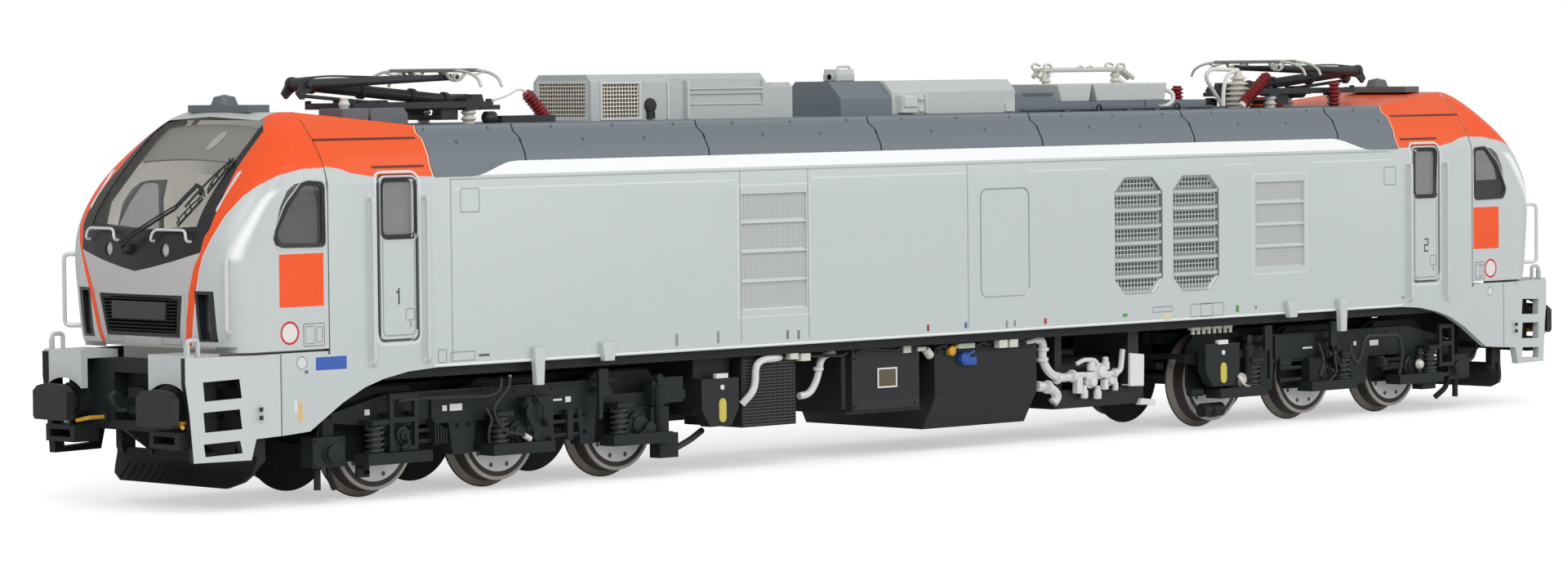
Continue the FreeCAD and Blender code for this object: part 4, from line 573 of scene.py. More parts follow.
def tank_paint():
    """Black tank, a little browner and lighter on its slanted flank under the fold line."""
    f = Finish("tank_paint", (35, 37, 40), rough=0.5, mottle=0.05, specular=0.35)
    f.layer(f.inside(f.z, 7.9) * f.between(abs(f.x), -1.0, 18.0), (44, 43, 42))
    return f.done()


# ---- shapes: corners in millimetres as rows of an array, and faces as rows of corner numbers ----


def put(name, mesh, body, finish, replaces=(), angle=35):
    """A piece from a mesh in place: shaded smooth up to angle, riding on its body, with its finish."""
    mesh.polygons.foreach_set("use_smooth", np.ones(len(mesh.polygons), bool))
    mesh.set_sharp_from_angle(angle=math.radians(angle))
    mesh.update()
    piece = bpy.data.objects.new(name, mesh)
    bpy.context.collection.objects.link(piece)
    mesh.materials.append(finish)
    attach(piece, body)
    if replaces:
        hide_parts(*replaces)
    return piece


def rounded_edges(piece, width):
    """Worn mould edges: a two-step bevel along every edge sharper than 40 degrees."""
    bevel = piece.modifiers.new("worn_edges", "BEVEL")
    bevel.width, bevel.segments, bevel.limit_method, bevel.angle_limit = width * mm, 2, "ANGLE", math.radians(40)
    return piece


def merged_copy(node, finish, angle=35, bevel=0.0, hub=None, lining=None, reshape=None):
    """A CAD node's surface with its corners joined: each corner, rounded to a tenth of a micrometre, is kept once.
    hub gives the direction from a place to the inside; faces whose outward direction has a share along it get the
    lining. reshape moves the corners."""
    source = frame["nodes"][node]
    corners = np.empty(len(source.data.vertices) * 3)
    source.data.vertices.foreach_get("co", corners)
    order = np.empty(len(source.data.loops), int)
    source.data.loops.foreach_get("vertex_index", order)
    corners = corners.reshape(-1, 3)
    _, first, same = np.unique(np.round(corners * 1e7).astype(np.int64), axis=0, return_index=True,
                               return_inverse=True)
    faces = same.reshape(-1)[order].reshape(-1, 3)
    real = (faces[:, 0] != faces[:, 1]) & (faces[:, 1] != faces[:, 2]) & (faces[:, 2] != faces[:, 0])
    mesh = bpy.data.meshes.new(node + "_smooth")
    corners = corners[first] if reshape is None else reshape(corners[first] / mm) * mm
    mesh.from_pydata(corners, [], faces[real])
    if bevel:
        shell = bmesh.new()
        shell.from_mesh(mesh)
        bmesh.ops.dissolve_limit(shell, angle_limit=math.radians(0.8), verts=shell.verts, edges=shell.edges)
        shell.to_mesh(mesh)
        shell.free()
    piece = put(node + "_smooth", mesh, body_of(source)[0], finish, [node], angle)
    if lining is not None:
        mesh.materials.append(lining)
        middle, outward = np.empty(len(mesh.polygons) * 3), np.empty(len(mesh.polygons) * 3)
        mesh.polygons.foreach_get("center", middle)
        mesh.polygons.foreach_get("normal", outward)
        inner = (outward.reshape(-1, 3) * hub(middle.reshape(-1, 3) / mm)).sum(1) > 0.0
        mesh.polygons.foreach_set("material_index", inner.astype(np.int32))
    return rounded_edges(piece, bevel) if bevel else piece


def cab_middle(end):
    """The direction from a place on the cab's shell to the nearest point of the cab's middle line."""
    sign = -1 if end == "1" else 1
    return lambda c: np.stack([sign * 106.0 - c[:, 0], np.zeros(len(c)) - c[:, 1],
                               np.clip(c[:, 2], 24.0, 38.0) - c[:, 2]], -1)


def wall_middle(c):
    """The direction, square to the length, from a place on the body shell to its middle."""
    return np.stack([np.zeros(len(c)), -c[:, 1], np.clip(c[:, 2], 22.0, 40.0) - c[:, 2]], -1)


def towards_middle(c):
    """The level direction to the middle plane, for the outer plates; hardly any for what stands further in."""
    none = np.zeros(len(c))
    return np.stack([none, -np.sign(c[:, 1]) * (np.abs(c[:, 1]) > 11.0), none - 1e-9], -1)


def plough_corners(c):
    """Rounded lower corners: on the blade's ends, y moves in by R (1 - sqrt(1 - (1 - h)^2)), with h the height over
    the lower edge as a share of the corner's height."""
    lower_edge, tall, radius, blade_end = 2.7, 3.2, 3.4, 13.8
    height = np.clip((c[:, 2] - lower_edge) / tall, 0.0, 1.0)
    cut = radius * (1.0 - np.sqrt(np.clip(1.0 - (1.0 - height) ** 2, 0.0, 1.0))) * (np.abs(c[:, 1]) > blade_end)
    return np.stack([c[:, 0], c[:, 1] - np.sign(c[:, 1]) * cut, c[:, 2]], -1)


def dress(finish, *nodes):
    """A finish on CAD nodes whose shape stays."""
    for node in nodes:
        mesh = frame["nodes"][node].data
        mesh.materials.clear()
        mesh.materials.append(finish)


def unit(vectors):
    return vectors / np.linalg.norm(vectors, axis=-1, keepdims=True)


def grid(points, wrap=False):
    """A surface from rows of corners (rows, columns, 3): each quad joins four neighbours. wrap joins the last column
    to the first and closes the end rows by fans from their middle."""
    rows, columns = points.shape[:2]
    r = np.arange(rows - 1)[:, None]
    c = np.arange(columns if wrap else columns - 1)[None, :]
    after = (c + 1) % columns
    quads = np.stack([r * columns + c, r * columns + after, (r + 1) * columns + after, (r + 1) * columns + c],
                     -1).reshape(-1, 4)
    corners = points.reshape(-1, 3)
    faces = quads.tolist()
    if wrap:
        corners = np.vstack([corners, points[0].mean(0), points[-1].mean(0)])
        ring = np.arange(columns)
        for start, hub in ((0, rows * columns), ((rows - 1) * columns, rows * columns + 1)):
            faces += np.stack([start + ring, start + (ring + 1) % columns, np.full(columns, hub)], -1).tolist()
    return corners, faces


def tube(path, radius, sides=8, plane=None):
    """A round bar: at each point c of the path a ring c + r (n cos t + b sin t), n and b square to the path there.
    radius may change along the path; plane is a direction that the path never takes."""
    path = np.asarray(path, float)
    ahead = unit(np.gradient(path, axis=0))
    if plane is None:
        spread = path - path.mean(0)
        plane = np.linalg.svd(spread)[2][2] if len(path) > 2 and np.linalg.matrix_rank(spread, 1e-6) > 1 else None
    if plane is None:
        plane = np.eye(3)[np.argmin(abs(ahead[0]))]
    beside = unit(np.cross(ahead, plane))
    over = np.cross(beside, ahead)
    turn = np.arange(sides) * 2 * np.pi / sides
    radius = np.broadcast_to(np.asarray(radius, float), len(path))[:, None, None]
    ring = beside[:, None] * np.cos(turn)[None, :, None] + over[:, None] * np.sin(turn)[None, :, None]
    return grid(path[:, None] + radius * ring, wrap=True)


def bent(points, radius, steps=5):
    """A path with its corners rounded: each corner p between a and b becomes (1-t)^2 a + 2t(1-t) p + t^2 b."""
    points = [np.asarray(p, float) for p in points]
    path = [points[0]]
    t = np.linspace(0, 1, steps + 1)[:, None]
    for before, corner, after in zip(points, points[1:], points[2:]):
        reach = [min(radius, 0.49 * np.linalg.norm(p - corner)) for p in (before, after)]
        a = corner + unit(before - corner) * reach[0]
        b = corner + unit(after - corner) * reach[1]
        path.extend((1 - t) ** 2 * a + 2 * t * (1 - t) * corner + t**2 * b)
    return np.array(path + [points[-1]])


def wire(points, radius, bend=0.8, sides=8):
    """A round wire through points, its corners bent to a radius."""
    return tube(bent(points, bend) if len(points) > 2 else points, radius, sides)


def turned(profile, foot, axis=UP, sides=24):
    """A turned part: profile rows (distance along the axis, radius) carried round the axis through foot."""
    profile = np.asarray(profile, float)
    axis = unit(np.asarray(axis, float))
    first = unit(np.cross(axis, np.eye(3)[np.argmin(abs(axis))]))
    second = np.cross(axis, first)
    turn = np.arange(sides) * 2 * np.pi / sides
    ring = first * np.cos(turn)[:, None] + second * np.sin(turn)[:, None]
    points = np.asarray(foot, float) + profile[:, :1, None] * axis + profile[:, 1:, None] * ring[None]
    return grid(points, wrap=True)


def prism(outline, axis, start, stop):
    """A plate or bar: an outline in the plane square to axis (0 x, 1 y, 2 z), carried from start to stop."""
    outline = np.asarray(outline, float)
    count = len(outline)
    corners = np.insert(np.vstack([outline, outline]), axis, np.repeat((start, stop), count), axis=1)
    ring = np.arange(count)
    after = (ring + 1) % count
    walls = np.stack([ring, after, after + count, ring + count], -1).tolist()
    return corners, walls + [ring[::-1].tolist(), (ring + count).tolist()]


def block(x0, x1, y0, y1, z0, z1):
    return prism([(x0, z0), (x1, z0), (x1, z1), (x0, z1)], 1, y0, y1)


def side_block(side, x0, x1, y0, y1, z0, z1):
    """A block on one side, y0 and y1 being distances from the middle plane."""
    return block(x0, x1, *sorted((side * y0, side * y1)), z0, z1)


def coil(foot, radius, wire_radius, turns, height, steps=14):
    """A coil spring: the path c + (R cos t, R sin t, h t), its first and last half turns flat."""
    t = np.linspace(0, 1, int(turns * steps) + 1)
    climb = np.clip((t * turns - 0.5) / (turns - 1.0), 0, 1) * (height - 2 * wire_radius) + wire_radius
    path = np.stack([radius * np.cos(2 * np.pi * turns * t), radius * np.sin(2 * np.pi * turns * t), climb], -1)
    return tube(np.asarray(foot, float) + path, wire_radius, 6, UP)


def sheds(foot, axis, height, core, radius, count, sides=20):
    """An insulator: between a foot ring and a cap ring, skirts that swell from core to radius and taper back."""
    step = height / (count + 0.6)
    rise, out = np.array([0.0, 0.18, 0.42, 0.5, 0.95]), np.array([0.0, 0.55, 1.0, 0.96, 0.0])
    skirt = np.concatenate([np.stack([(i + 0.3 + rise) * step, core + (radius - core) * out], -1)
                            for i in range(count)])
    foot_ring = [(0, 0.85 * radius), (0.25 * step, 0.85 * radius)]
    cap_ring = [(height - 0.25 * step, 0.7 * radius), (height, 0.7 * radius)]
    return turned(np.vstack([foot_ring, skirt, cap_ring]), foot, axis, sides)


def joined(shells):
    """Several shells as one: corners stacked, corner numbers moved on."""
    corners, faces, count = [], [], 0
    for points, rows in shells:
        corners.append(points)
        faces += [[i + count for i in row] for row in rows]
        count += len(points)
    return np.vstack(corners), faces


def half_turned(shells):
    """The same shells turned half a turn about the upright axis, for the other end."""
    return [(points * (-1, -1, 1), faces) for points, faces in shells]


def several(make, *rows):
    """Shells of one kind, one from each row of values."""
    return [make(*row) for row in rows]


def two_sided(shells):
    """The shells, and the same on the other side. build turns the faces outwards."""
    return shells + [(points * (1, -1, 1), faces) for points, faces in shells]


def build(name, shells, finish, slot, body="locomotive", replaces=(), bevel=0.0, angle=35):
    """One piece from shells: corners that meet are joined within each shell and faces are turned outwards."""
    points, faces = joined(shells)
    mesh = bpy.data.meshes.new(name)
    mesh.from_pydata(points * mm, [], faces)
    shell = bmesh.new()
    shell.from_mesh(mesh)
    bmesh.ops.remove_doubles(shell, verts=shell.verts, dist=1e-7)
    bmesh.ops.dissolve_degenerate(shell, edges=shell.edges, dist=1e-8)
    bmesh.ops.recalc_face_normals(shell, faces=shell.faces)
    shell.to_mesh(mesh)
    shell.free()
    piece = put(name, mesh, body, finish, replaces, angle)
    return rounded_edges(piece, bevel) if bevel else piece


# ---- both ends: rails, wipers, nose, lamps, fenders ----


def surface_of(*nodes):
    """The surface of CAD nodes, for laying fine parts on: a function that goes along a line from far off to where
    it first meets the surface, and stands off by lift."""
    corners, faces, count = [], [], 0
    for node in nodes:
        mesh = frame["nodes"][node].data
        place = np.empty(len(mesh.vertices) * 3)
        mesh.vertices.foreach_get("co", place)
        order = np.empty(len(mesh.loops), int)
        mesh.loops.foreach_get("vertex_index", order)
        corners.append(place.reshape(-1, 3) / mm)
        faces += (order.reshape(-1, 3) + count).tolist()
        count += len(mesh.vertices)
    tree = BVHTree.FromPolygons(np.vstack(corners).tolist(), faces)

    def lay(point, ahead=(1.0, 0.0, 0.0), lift=0.0):
        ahead = Vector(ahead).normalized()
        meet = tree.ray_cast(Vector(point) - 60 * ahead, ahead)[0] or tree.find_nearest(Vector(point))[0]
        return np.array(meet - float(lift) * ahead)

    return lay


def laid(lay, points, lift, steps=4):
    """A path over a surface through (y, z) points, each leg in steps. lift is one number, or one for each point."""
    points = np.asarray(points, float)
    lifts = np.broadcast_to(np.asarray(lift, float), len(points))
    share = np.linspace(0, len(points) - 1, steps * (len(points) - 1) + 1)
    y, z, off = (np.interp(share, np.arange(len(points)), row) for row in (points[:, 0], points[:, 1], lifts))
    return np.array([lay((FRONT_X, a, b), lift=c) for a, b, c in zip(y, z, off)])


def both_ends(name, shells, finish, slot, bodies=LOCOMOTIVE, replaces=((), ()), **rest):
    """A piece at end 1 and the same piece, half turned, at end 2, each in place of its own CAD nodes."""
    for end, turned_shells, body, nodes in zip("12", (shells, half_turned(shells)), bodies, replaces):
        build(name + "_" + end, turned_shells, finish, slot, body, nodes, **rest)


def rail_on_wall(x, side, z0, z1, radius=0.26):
    """An upright rail beside a door, with a small round foot at each end."""
    wall, rail = 16.25, 17.0
    y, out = side * wall, side * rail
    feet = [turned([(-0.15, 0.42), (0.12, 0.42), (0.2, 0.25)], (x, y, z), (0, side, 0), 10) for z in (z0, z1)]
    return [wire([(x, y - side * 0.4, z0), (x, out, z0), (x, out, z1), (x, y - side * 0.4, z1)], radius, 0.6)] + feet


def handrails():
    """Rails at the cab's corners, beside the doors, over the lamps and along the windscreen's edges."""
    shells = []
    for side in (-1, 1):
        foot, out = (-124.4, 0.89 * HALF_WIDTH * side), (-125.6, HALF_WIDTH * side)
        shells.append(wire([(foot[0] + 0.8, foot[1], 21.8), (*out, 21.8), (*out, 30.6),
                            (foot[0] + 0.8, foot[1], 30.6)], 0.27, 0.7))
        for x in (-94.9, -103.5):
            shells += rail_on_wall(x, side, 17.1, 37.4)
        y0, y1 = 3.6 * side, 10.1 * side
        low, high = 32.6, 34.0
        path = [nose((FRONT_X, y0, low)) + (0.4, 0, 0), nose((FRONT_X, y0, low), lift=0.7),
                nose((FRONT_X, 1.12 * y0, high), lift=0.8)]
        path += [nose((FRONT_X, 0.97 * y1, high), lift=0.9), nose((FRONT_X, y1, low), lift=0.8),
                 nose((FRONT_X, y1, low)) + (0.4, 0, 0)]
        shells.append(wire(path, 0.18, 0.8))
        path = [(-119.6, 40.3), (-120.4, 41.0), (-124.2, 36.1), (-123.4, 35.2)]
        y = 12.3 * side
        shells.append(wire([(path[0][0] + 0.5, y, path[0][1] - 0.2), (path[1][0], 1.03 * y, path[1][1]),
                            (path[2][0], 1.03 * y, path[2][1]), (path[3][0] + 0.5, y, path[3][1])], 0.2, 0.7))
    both_ends("handrails", shells, bright, "handrails", replaces=(("handrails",),) * 2)


def wipers():
    """A long double-rod arm from the middle of the nose, a bow along the glass and two rubber blades, with links."""
    arm = [(1.2, 31.9), (-2.2, 34.0), (-6.4, 36.4), (-7.8, 39.0)]
    shells = [turned([(0, 0.1), (0, 0.75), (0.9, 0.7), (1.3, 0.45), (1.5, 0.05)],
                     nose((FRONT_X, 1.2, 31.6), lift=-0.3), (-1, 0, 0), 14)]
    for shift, radius in ((0.0, 0.17), (0.42, 0.11)):
        shells.append(tube(laid(nose, [(y + shift * 0.6, z + shift) for y, z in arm], (1.3, 1.1, 0.95, 0.85)),
                           radius, 6))
    shells.append(tube(laid(nose, [(-7.6, 39.3), (-8.9, 38.9), (-9.3, 38.2)], 0.85, 2), 0.26, 6))
    bow = [(-7.8, 36.7), (-8.9, 38.8), (-9.6, 40.7), (-10.3, 42.4)]
    blade = [(-7.5, 34.4), (-8.8, 36.1), (-9.8, 38.0), (-10.25, 40.3), (-10.5, 42.2)]
    shells.append(tube(laid(nose, bow, (0.8, 0.95, 0.85, 0.55)), 0.13, 6))
    for low, high in ((0.0, 0.46), (0.54, 1.0)):
        share = np.linspace(low, high, 5)
        run = [tuple(np.interp(share[i], np.linspace(0, 1, 5), [p[k] for p in blade]) for k in (0, 1))
               for i in range(5)]
        shells.append(tube(laid(nose, run, 0.42, 2), 0.15, 6))
        shells.append(tube(laid(nose, [(y + 0.22, z + 0.32) for y, z in run], (0.5, 0.85, 0.95, 0.85, 0.5), 2),
                           0.09, 5))
    for i in range(9):
        share = 0.06 + 0.11 * i
        y, z = (np.interp(share, np.linspace(0, 1, 5), [p[k] for p in blade]) for k in (0, 1))
        shells.append(tube(laid(nose, [(y, z - 0.1), (y + 0.5 - 0.4 * (i % 2), z + 0.75)], (0.45, 0.85), 1), 0.09, 5))
    both_ends("wipers", shells, wiper_black, "wipers", replaces=(("wipers",),) * 2)


def strip_on(lay, path, width, lift, sink=0.3):
    """A flat strip laid over a surface along (y, z) points: its top stands off by lift, its back lies sunk."""
    path = np.asarray(path, float)
    share = np.linspace(0, len(path) - 1, 6 * (len(path) - 1) + 1)
    mid = np.stack([np.interp(share, np.arange(len(path)), path[:, k]) for k in (0, 1)], -1)
    ahead = unit(np.gradient(mid, axis=0))
    square = np.stack([-ahead[:, 1], ahead[:, 0]], -1) * width / 2
    rows = []
    for (y, z), (dy, dz) in zip(mid, square):
        top = [lay((FRONT_X, y + k * dy, z + k * dz), lift=lift) for k in (-1, 1)]
        rows.append([top[0], top[1], top[1] + (sink + lift, 0, 0), top[0] + (sink + lift, 0, 0)])
    return grid(np.array(rows), wrap=True)


def nose_details():
    """Grille recess with slats, rim and a blank inner panel, headlights in dark rings, and fine frames under them."""
    outline = [(-6.85, 21.35), (6.85, 21.35), (7.75, 25.75), (-7.75, 25.75)]
    back = prism(outline, 0, -125.9, -125.6)
    slats = []
    for z in np.arange(21.65, 25.5, 0.42):
        reach = 5.3 + 0.2 * (z - 14.6)
        slats.append(prism([(-125.95, z), (-126.3, z + 0.02), (-126.3, z + 0.14), (-125.95, z + 0.3)],
                           1, -reach, reach))
    both_ends("grille_slats", [back] + slats, floor_black, "nose_grilles", replaces=(("nose_grilles",),) * 2)
    panel = prism([(-5.3, 23.05), (5.3, 23.05), (5.4, 25.25), (-5.4, 25.25)], 0, -126.55, -126.1)
    both_ends("grille_panel", [panel], panel_grey, "nose_grilles", bevel=0.12)
    rim = [strip_on(nose, [(1.02 * a[0], a[1]), (1.02 * b[0], b[1])], 0.26, 0.05, 0.9)
           for a, b in zip(outline, outline[1:] + outline[:1])]
    both_ends("grille_rim", rim, mask_black, "nose_grilles")
    clear, rings = [], []
    turn = np.linspace(0, 2 * np.pi, 20, endpoint=False)
    for side in (-1, 1):
        y, z = 5.6 * side, 31.5
        x = nose((FRONT_X, y, z))[0]
        # a lens of upright oval form, |cos t|^0.6 wide and |sin t|^0.6 tall: rings that shrink and bulge forwards
        wide, tall = (np.sign(side_of) * abs(side_of) ** 0.6 for side_of in (np.cos(turn), np.sin(turn)))
        rows = [np.stack([x - 0.1 - 0.22 * (1 - s * s) + 0 * turn, y + 0.86 * s * wide, z + 1.3 * s * tall], -1)
                for s in (1.0, 0.92, 0.7, 0.4, 0.1)]
        clear.append(grid(np.array(rows), wrap=True))
        rows = [np.stack([x + dx + 0 * turn, y + r * np.cos(turn), z + 1.25 * r * np.sin(turn)], -1)
                for dx, r in ((0.8, 1.25), (-0.12, 1.2), (-0.2, 1.05), (0.35, 0.95))]
        rings.append(grid(np.array(rows), wrap=True))
    both_ends("headlight_lenses", clear, silver_lens, "lamps")
    both_ends("headlight_rings", rings, mask_black, "lamps")
    frames = []
    for y0, y1 in ((-7.3, -3.9), (3.9, 7.3)):
        for a, b in (((y0, 20.15), (y1, 20.15)), ((y0, 20.95), (y1, 20.95)), ((y0, 20.1), (y0, 21.0)),
                     ((y1, 20.1), (y1, 21.0))):
            frames.append(strip_on(nose, [a, b], 0.1, 0.03))
    both_ends("number_frames", frames, trim_grey, "cab_shell")


def cab_lining():
    """A grey band behind the top of the windscreen with an oval light in it."""
    rows = []
    for s in np.linspace(0, 1, 7):
        base = np.array((-119.2 + 4.2 * s, 0, 42.6 + 4.2 * s))
        rows.append([windscreen((base[0], yy, base[2]), (0.72, 0, -0.69), lift=-0.85)
                     for yy in np.linspace(-9.6, 9.6, 13)])
    top = np.array(rows)
    thick = np.array((0.18, 0, -0.17))
    count = top.shape[0] * top.shape[1]
    points, faces = grid(top)
    both_ends("sun_band",
              [(np.vstack([points, points + thick]), faces + [[i + count for i in row[::-1]] for row in faces])],
              lining_grey, "cab_interior")
    turn = np.linspace(0, 2 * np.pi, 24, endpoint=False)[:, None]
    wide, tall = np.cos(turn), np.sin(turn)
    ahead = Vector((0.72, 0, -0.69))
    centre = np.array((-117.2, -3.4, 44.9))
    rows = []
    for s in (1.0, 0.6, 0.05):
        spots = centre + 1.75 * s * wide * (0.63, -0.32, 0.66) + 0.75 * s * tall * (0.25, 0.95, 0.25)
        rows.append([windscreen(spot, ahead, lift=-0.75) for spot in spots])
    both_ends("cab_light", [grid(np.array(rows), wrap=True)], cab_light_white, "cab_interior")


def gasket(outline, lay_on, side, inset, lift, sink=0.4):
    """A rubber frame round a window: loops of its (x, z) outline and of the outline drawn in by inset, as a ring."""
    outline = np.asarray(outline, float)
    middle = outline.mean(0)
    arm = outline - middle
    drawn = middle + arm * (1.0 - inset / np.linalg.norm(arm, axis=1, keepdims=True))
    loops = [[lay_on((x, side * 16.0, z), (0, -side, 0), off) for x, z in ring]
             for ring, off in ((outline, -sink), (outline, lift), (drawn, lift), (drawn, -sink))]
    count = len(outline)
    r, c = np.meshgrid(np.arange(4), np.arange(count), indexing="ij")
    quads = np.stack([r * count + c, r * count + (c + 1) % count, (r + 1) % 4 * count + (c + 1) % count,
                      (r + 1) % 4 * count + c], -1)
    return np.array(loops).reshape(-1, 3), quads.reshape(-1, 4).tolist()


def softened(corners, radius=0.5):
    """An outline with rounded corners, for a closed run of (x, z) corners."""
    run = np.insert(np.array(corners + corners[:2], float), 1, 0.0, axis=1)
    return bent(run, radius, 4)[1:-1][:, (0, 2)]


def window_gaskets():
    """Black frames of the door windows and of the cab's side windows, with a light bead round them."""
    side_skin = surface_of("cab_shell_1", "body_shell", "side_windows")
    door = softened([(-101.7, 32.2), (-96.1, 32.2), (-96.1, 39.75), (-101.7, 39.75)], 0.9)
    cab_window = softened([(-110.5, 39.5), (-113.5, 39.7), (-116.4, 37.0), (-118.4, 33.0), (-117.6, 31.7),
                           (-110.5, 31.6)], 0.8)
    black, light = [], []
    for side in (-1, 1):
        for outline in (door, cab_window):
            black.append(gasket(outline, side_skin, side, 0.62, 0.12))
            light.append(gasket(outline + (outline - outline.mean(0)) * 0.07, side_skin, side, 0.2, 0.06))
    both_ends("window_gaskets", black, rubber_black, "side_windows")
    both_ends("window_beads", light, skirt_grey, "cab_shell")


def plough_ribs():
    """Upright ribs along the lower part of the rail guard, following its curve x = front - 2.2 (1 - t)^2."""
    t = np.linspace(0.06, 0.55, 6)
    shells = []
    for y in np.arange(-11.0, 11.1, 1.57):
        x, z = -119.6 - 2.2 * (1 - t) ** 2, 2.7 + 3.9 * t
        shells.append(tube(np.stack([x + 0.05, y + 0 * t, z], -1), 0.16, 6, (0, 1, 0)))
    return shells


def wheel_shade_plates():
    """Dark plates between wheels and side beams, with a folded foot and bolts, and bars between the wheels. The
    plates cover the wheels' upper halves: dark sheets standing for the painted shade that lies there.
    """
    shells = []
    for side in (-1, 1):
        for axle in AXLES:
            outline = [(axle - 4.6, 13.9), (axle - 6.6, 12.2), (axle - 6.9, 6.2), (axle - 5.9, 4.9),
                       (axle + 5.3, 4.9), (axle + 6.3, 6.2), (axle + 6.3, 12.2), (axle + 4.6, 13.9)]
            shells.append(prism(outline, 1, *sorted((side * 10.45, side * 10.85))))
            shells.append(side_block(side, axle - 6.0, axle + 5.4, 10.7, 11.5, 4.9, 5.25))
            shells += [turned([(0, 0.24), (0.15, 0.2), (0.2, 0.05)], (axle + dx, side * 10.85, 5.9), (0, side, 0), 6)
                       for dx in (-4.8, 0.0, 4.4)]
        for inner in (3.2, 5.1):
            shells.append(side_block(side, -104.0, -50.5, inner, inner + 1.5, 12.3, 13.85))
    return shells


def floor_ducts():
    """Cable ducts under the floor between the wheels, with their clips."""
    shells, x0, x1 = [], -104.0, -50.0
    for y in (-4.6, 4.6):
        shells.append(prism([(y - 1.6, 14.2), (y + 1.6, 14.2), (y + 1.9, 14.6), (y + 1.9, 16.2), (y - 1.9, 16.2),
                             (y - 1.9, 14.6)], 0, x0, x1))
        shells += [block(x, x + 0.8, y - 2.0, y + 2.0, 14.05, 16.0) for x in np.arange(x0 + 1.5, x1 - 1.0, 4.4)]
    return shells


def fenders():
    """Ribs on the shoulders over the buffers, the loop plate above each, and the small handles on the skirts."""
    ribs, loops, marks = [], [], []
    for side in (-1, 1):
        for z in (18.35, 17.75, 17.2):
            ribs.append(side_block(side, -129.86, -129.7, 7.3, 13.9, z - 0.07, z + 0.07))
        y = side * 13.6
        loops.append(wire([(-129.5, y, 19.0), (-129.5, y, 21.0), (-127.9, y, 21.0), (-127.9, y, 18.6)], 0.28, 0.5))
        loops.append(block(-129.75, -129.35, y - 0.35, y + 0.35, 18.9, 20.4))
        for x, z in ((-120.6, 12.2), (-120.6, 11.2)):
            marks.append(side_block(side, x - 0.22, x + 0.22, 16.2, 16.42, z, z + 0.5))
    both_ends("fender_ribs", ribs, skirt_grey, "front_skirt", bevel=0.05)
    both_ends("fender_loops", loops, skirt_grey, "front_skirt")
    both_ends("skirt_marks", marks, steel_black, "front_skirt")


# ---- roof ----


def lattice(origin, across, up, width, height, pitch, bar, depth=0.16):
    """A mesh of square bars from origin, one at each pitch across and up, the two sets one bar's depth apart."""
    origin, across, up = (np.array(v, float) for v in (origin, across, up))
    square = np.cross(across, up)
    shells = []
    for run, step, length, reach, level in ((up, across, height, width, 0.0), (across, up, width, height, depth)):
        count = max(2, int(round(reach / pitch)))
        for share in np.linspace(0, 1, count + 1):
            foot = origin + step * reach * share + square * level
            corner = [foot - step * bar / 2, foot + step * bar / 2, foot + step * bar / 2 + square * depth,
                      foot - step * bar / 2 + square * depth]
            shells.append(grid(np.array([corner, [c + run * length for c in corner]]), wrap=True))
    return shells


def window_frame(origin, across, up, width, height, edge, depth):
    """Four mitred bars round an opening, from the outer loop to the loop drawn in by edge."""
    origin, across, up = (np.array(v, float) for v in (origin, across, up))
    square = np.cross(across, up)
    ring = lambda inset, level: [origin + across * u + up * v + square * level
                                 for u, v in ((inset, inset), (width - inset, inset), (width - inset, height - inset),
                                              (inset, height - inset))]
    rows = np.array([ring(0, 0), ring(0, depth), ring(edge, depth), ring(edge, 0)])
    points, _ = grid(rows, wrap=True)
    r, c = np.meshgrid(np.arange(4), np.arange(4), indexing="ij")
    quads = np.stack([r * 4 + c, r * 4 + (c + 1) % 4, (r + 1) % 4 * 4 + (c + 1) % 4, (r + 1) % 4 * 4 + c],
                     -1).reshape(-1, 4)
    return points[:16], quads.tolist()


def rivets(points, square, radius=0.13, height=0.07):
    """Low domes in rows, six-sided, standing along square."""
    return [turned([(-0.05, radius), (height * 0.6, radius * 0.8), (height, radius * 0.25)], p, square, 6)
            for p in points]


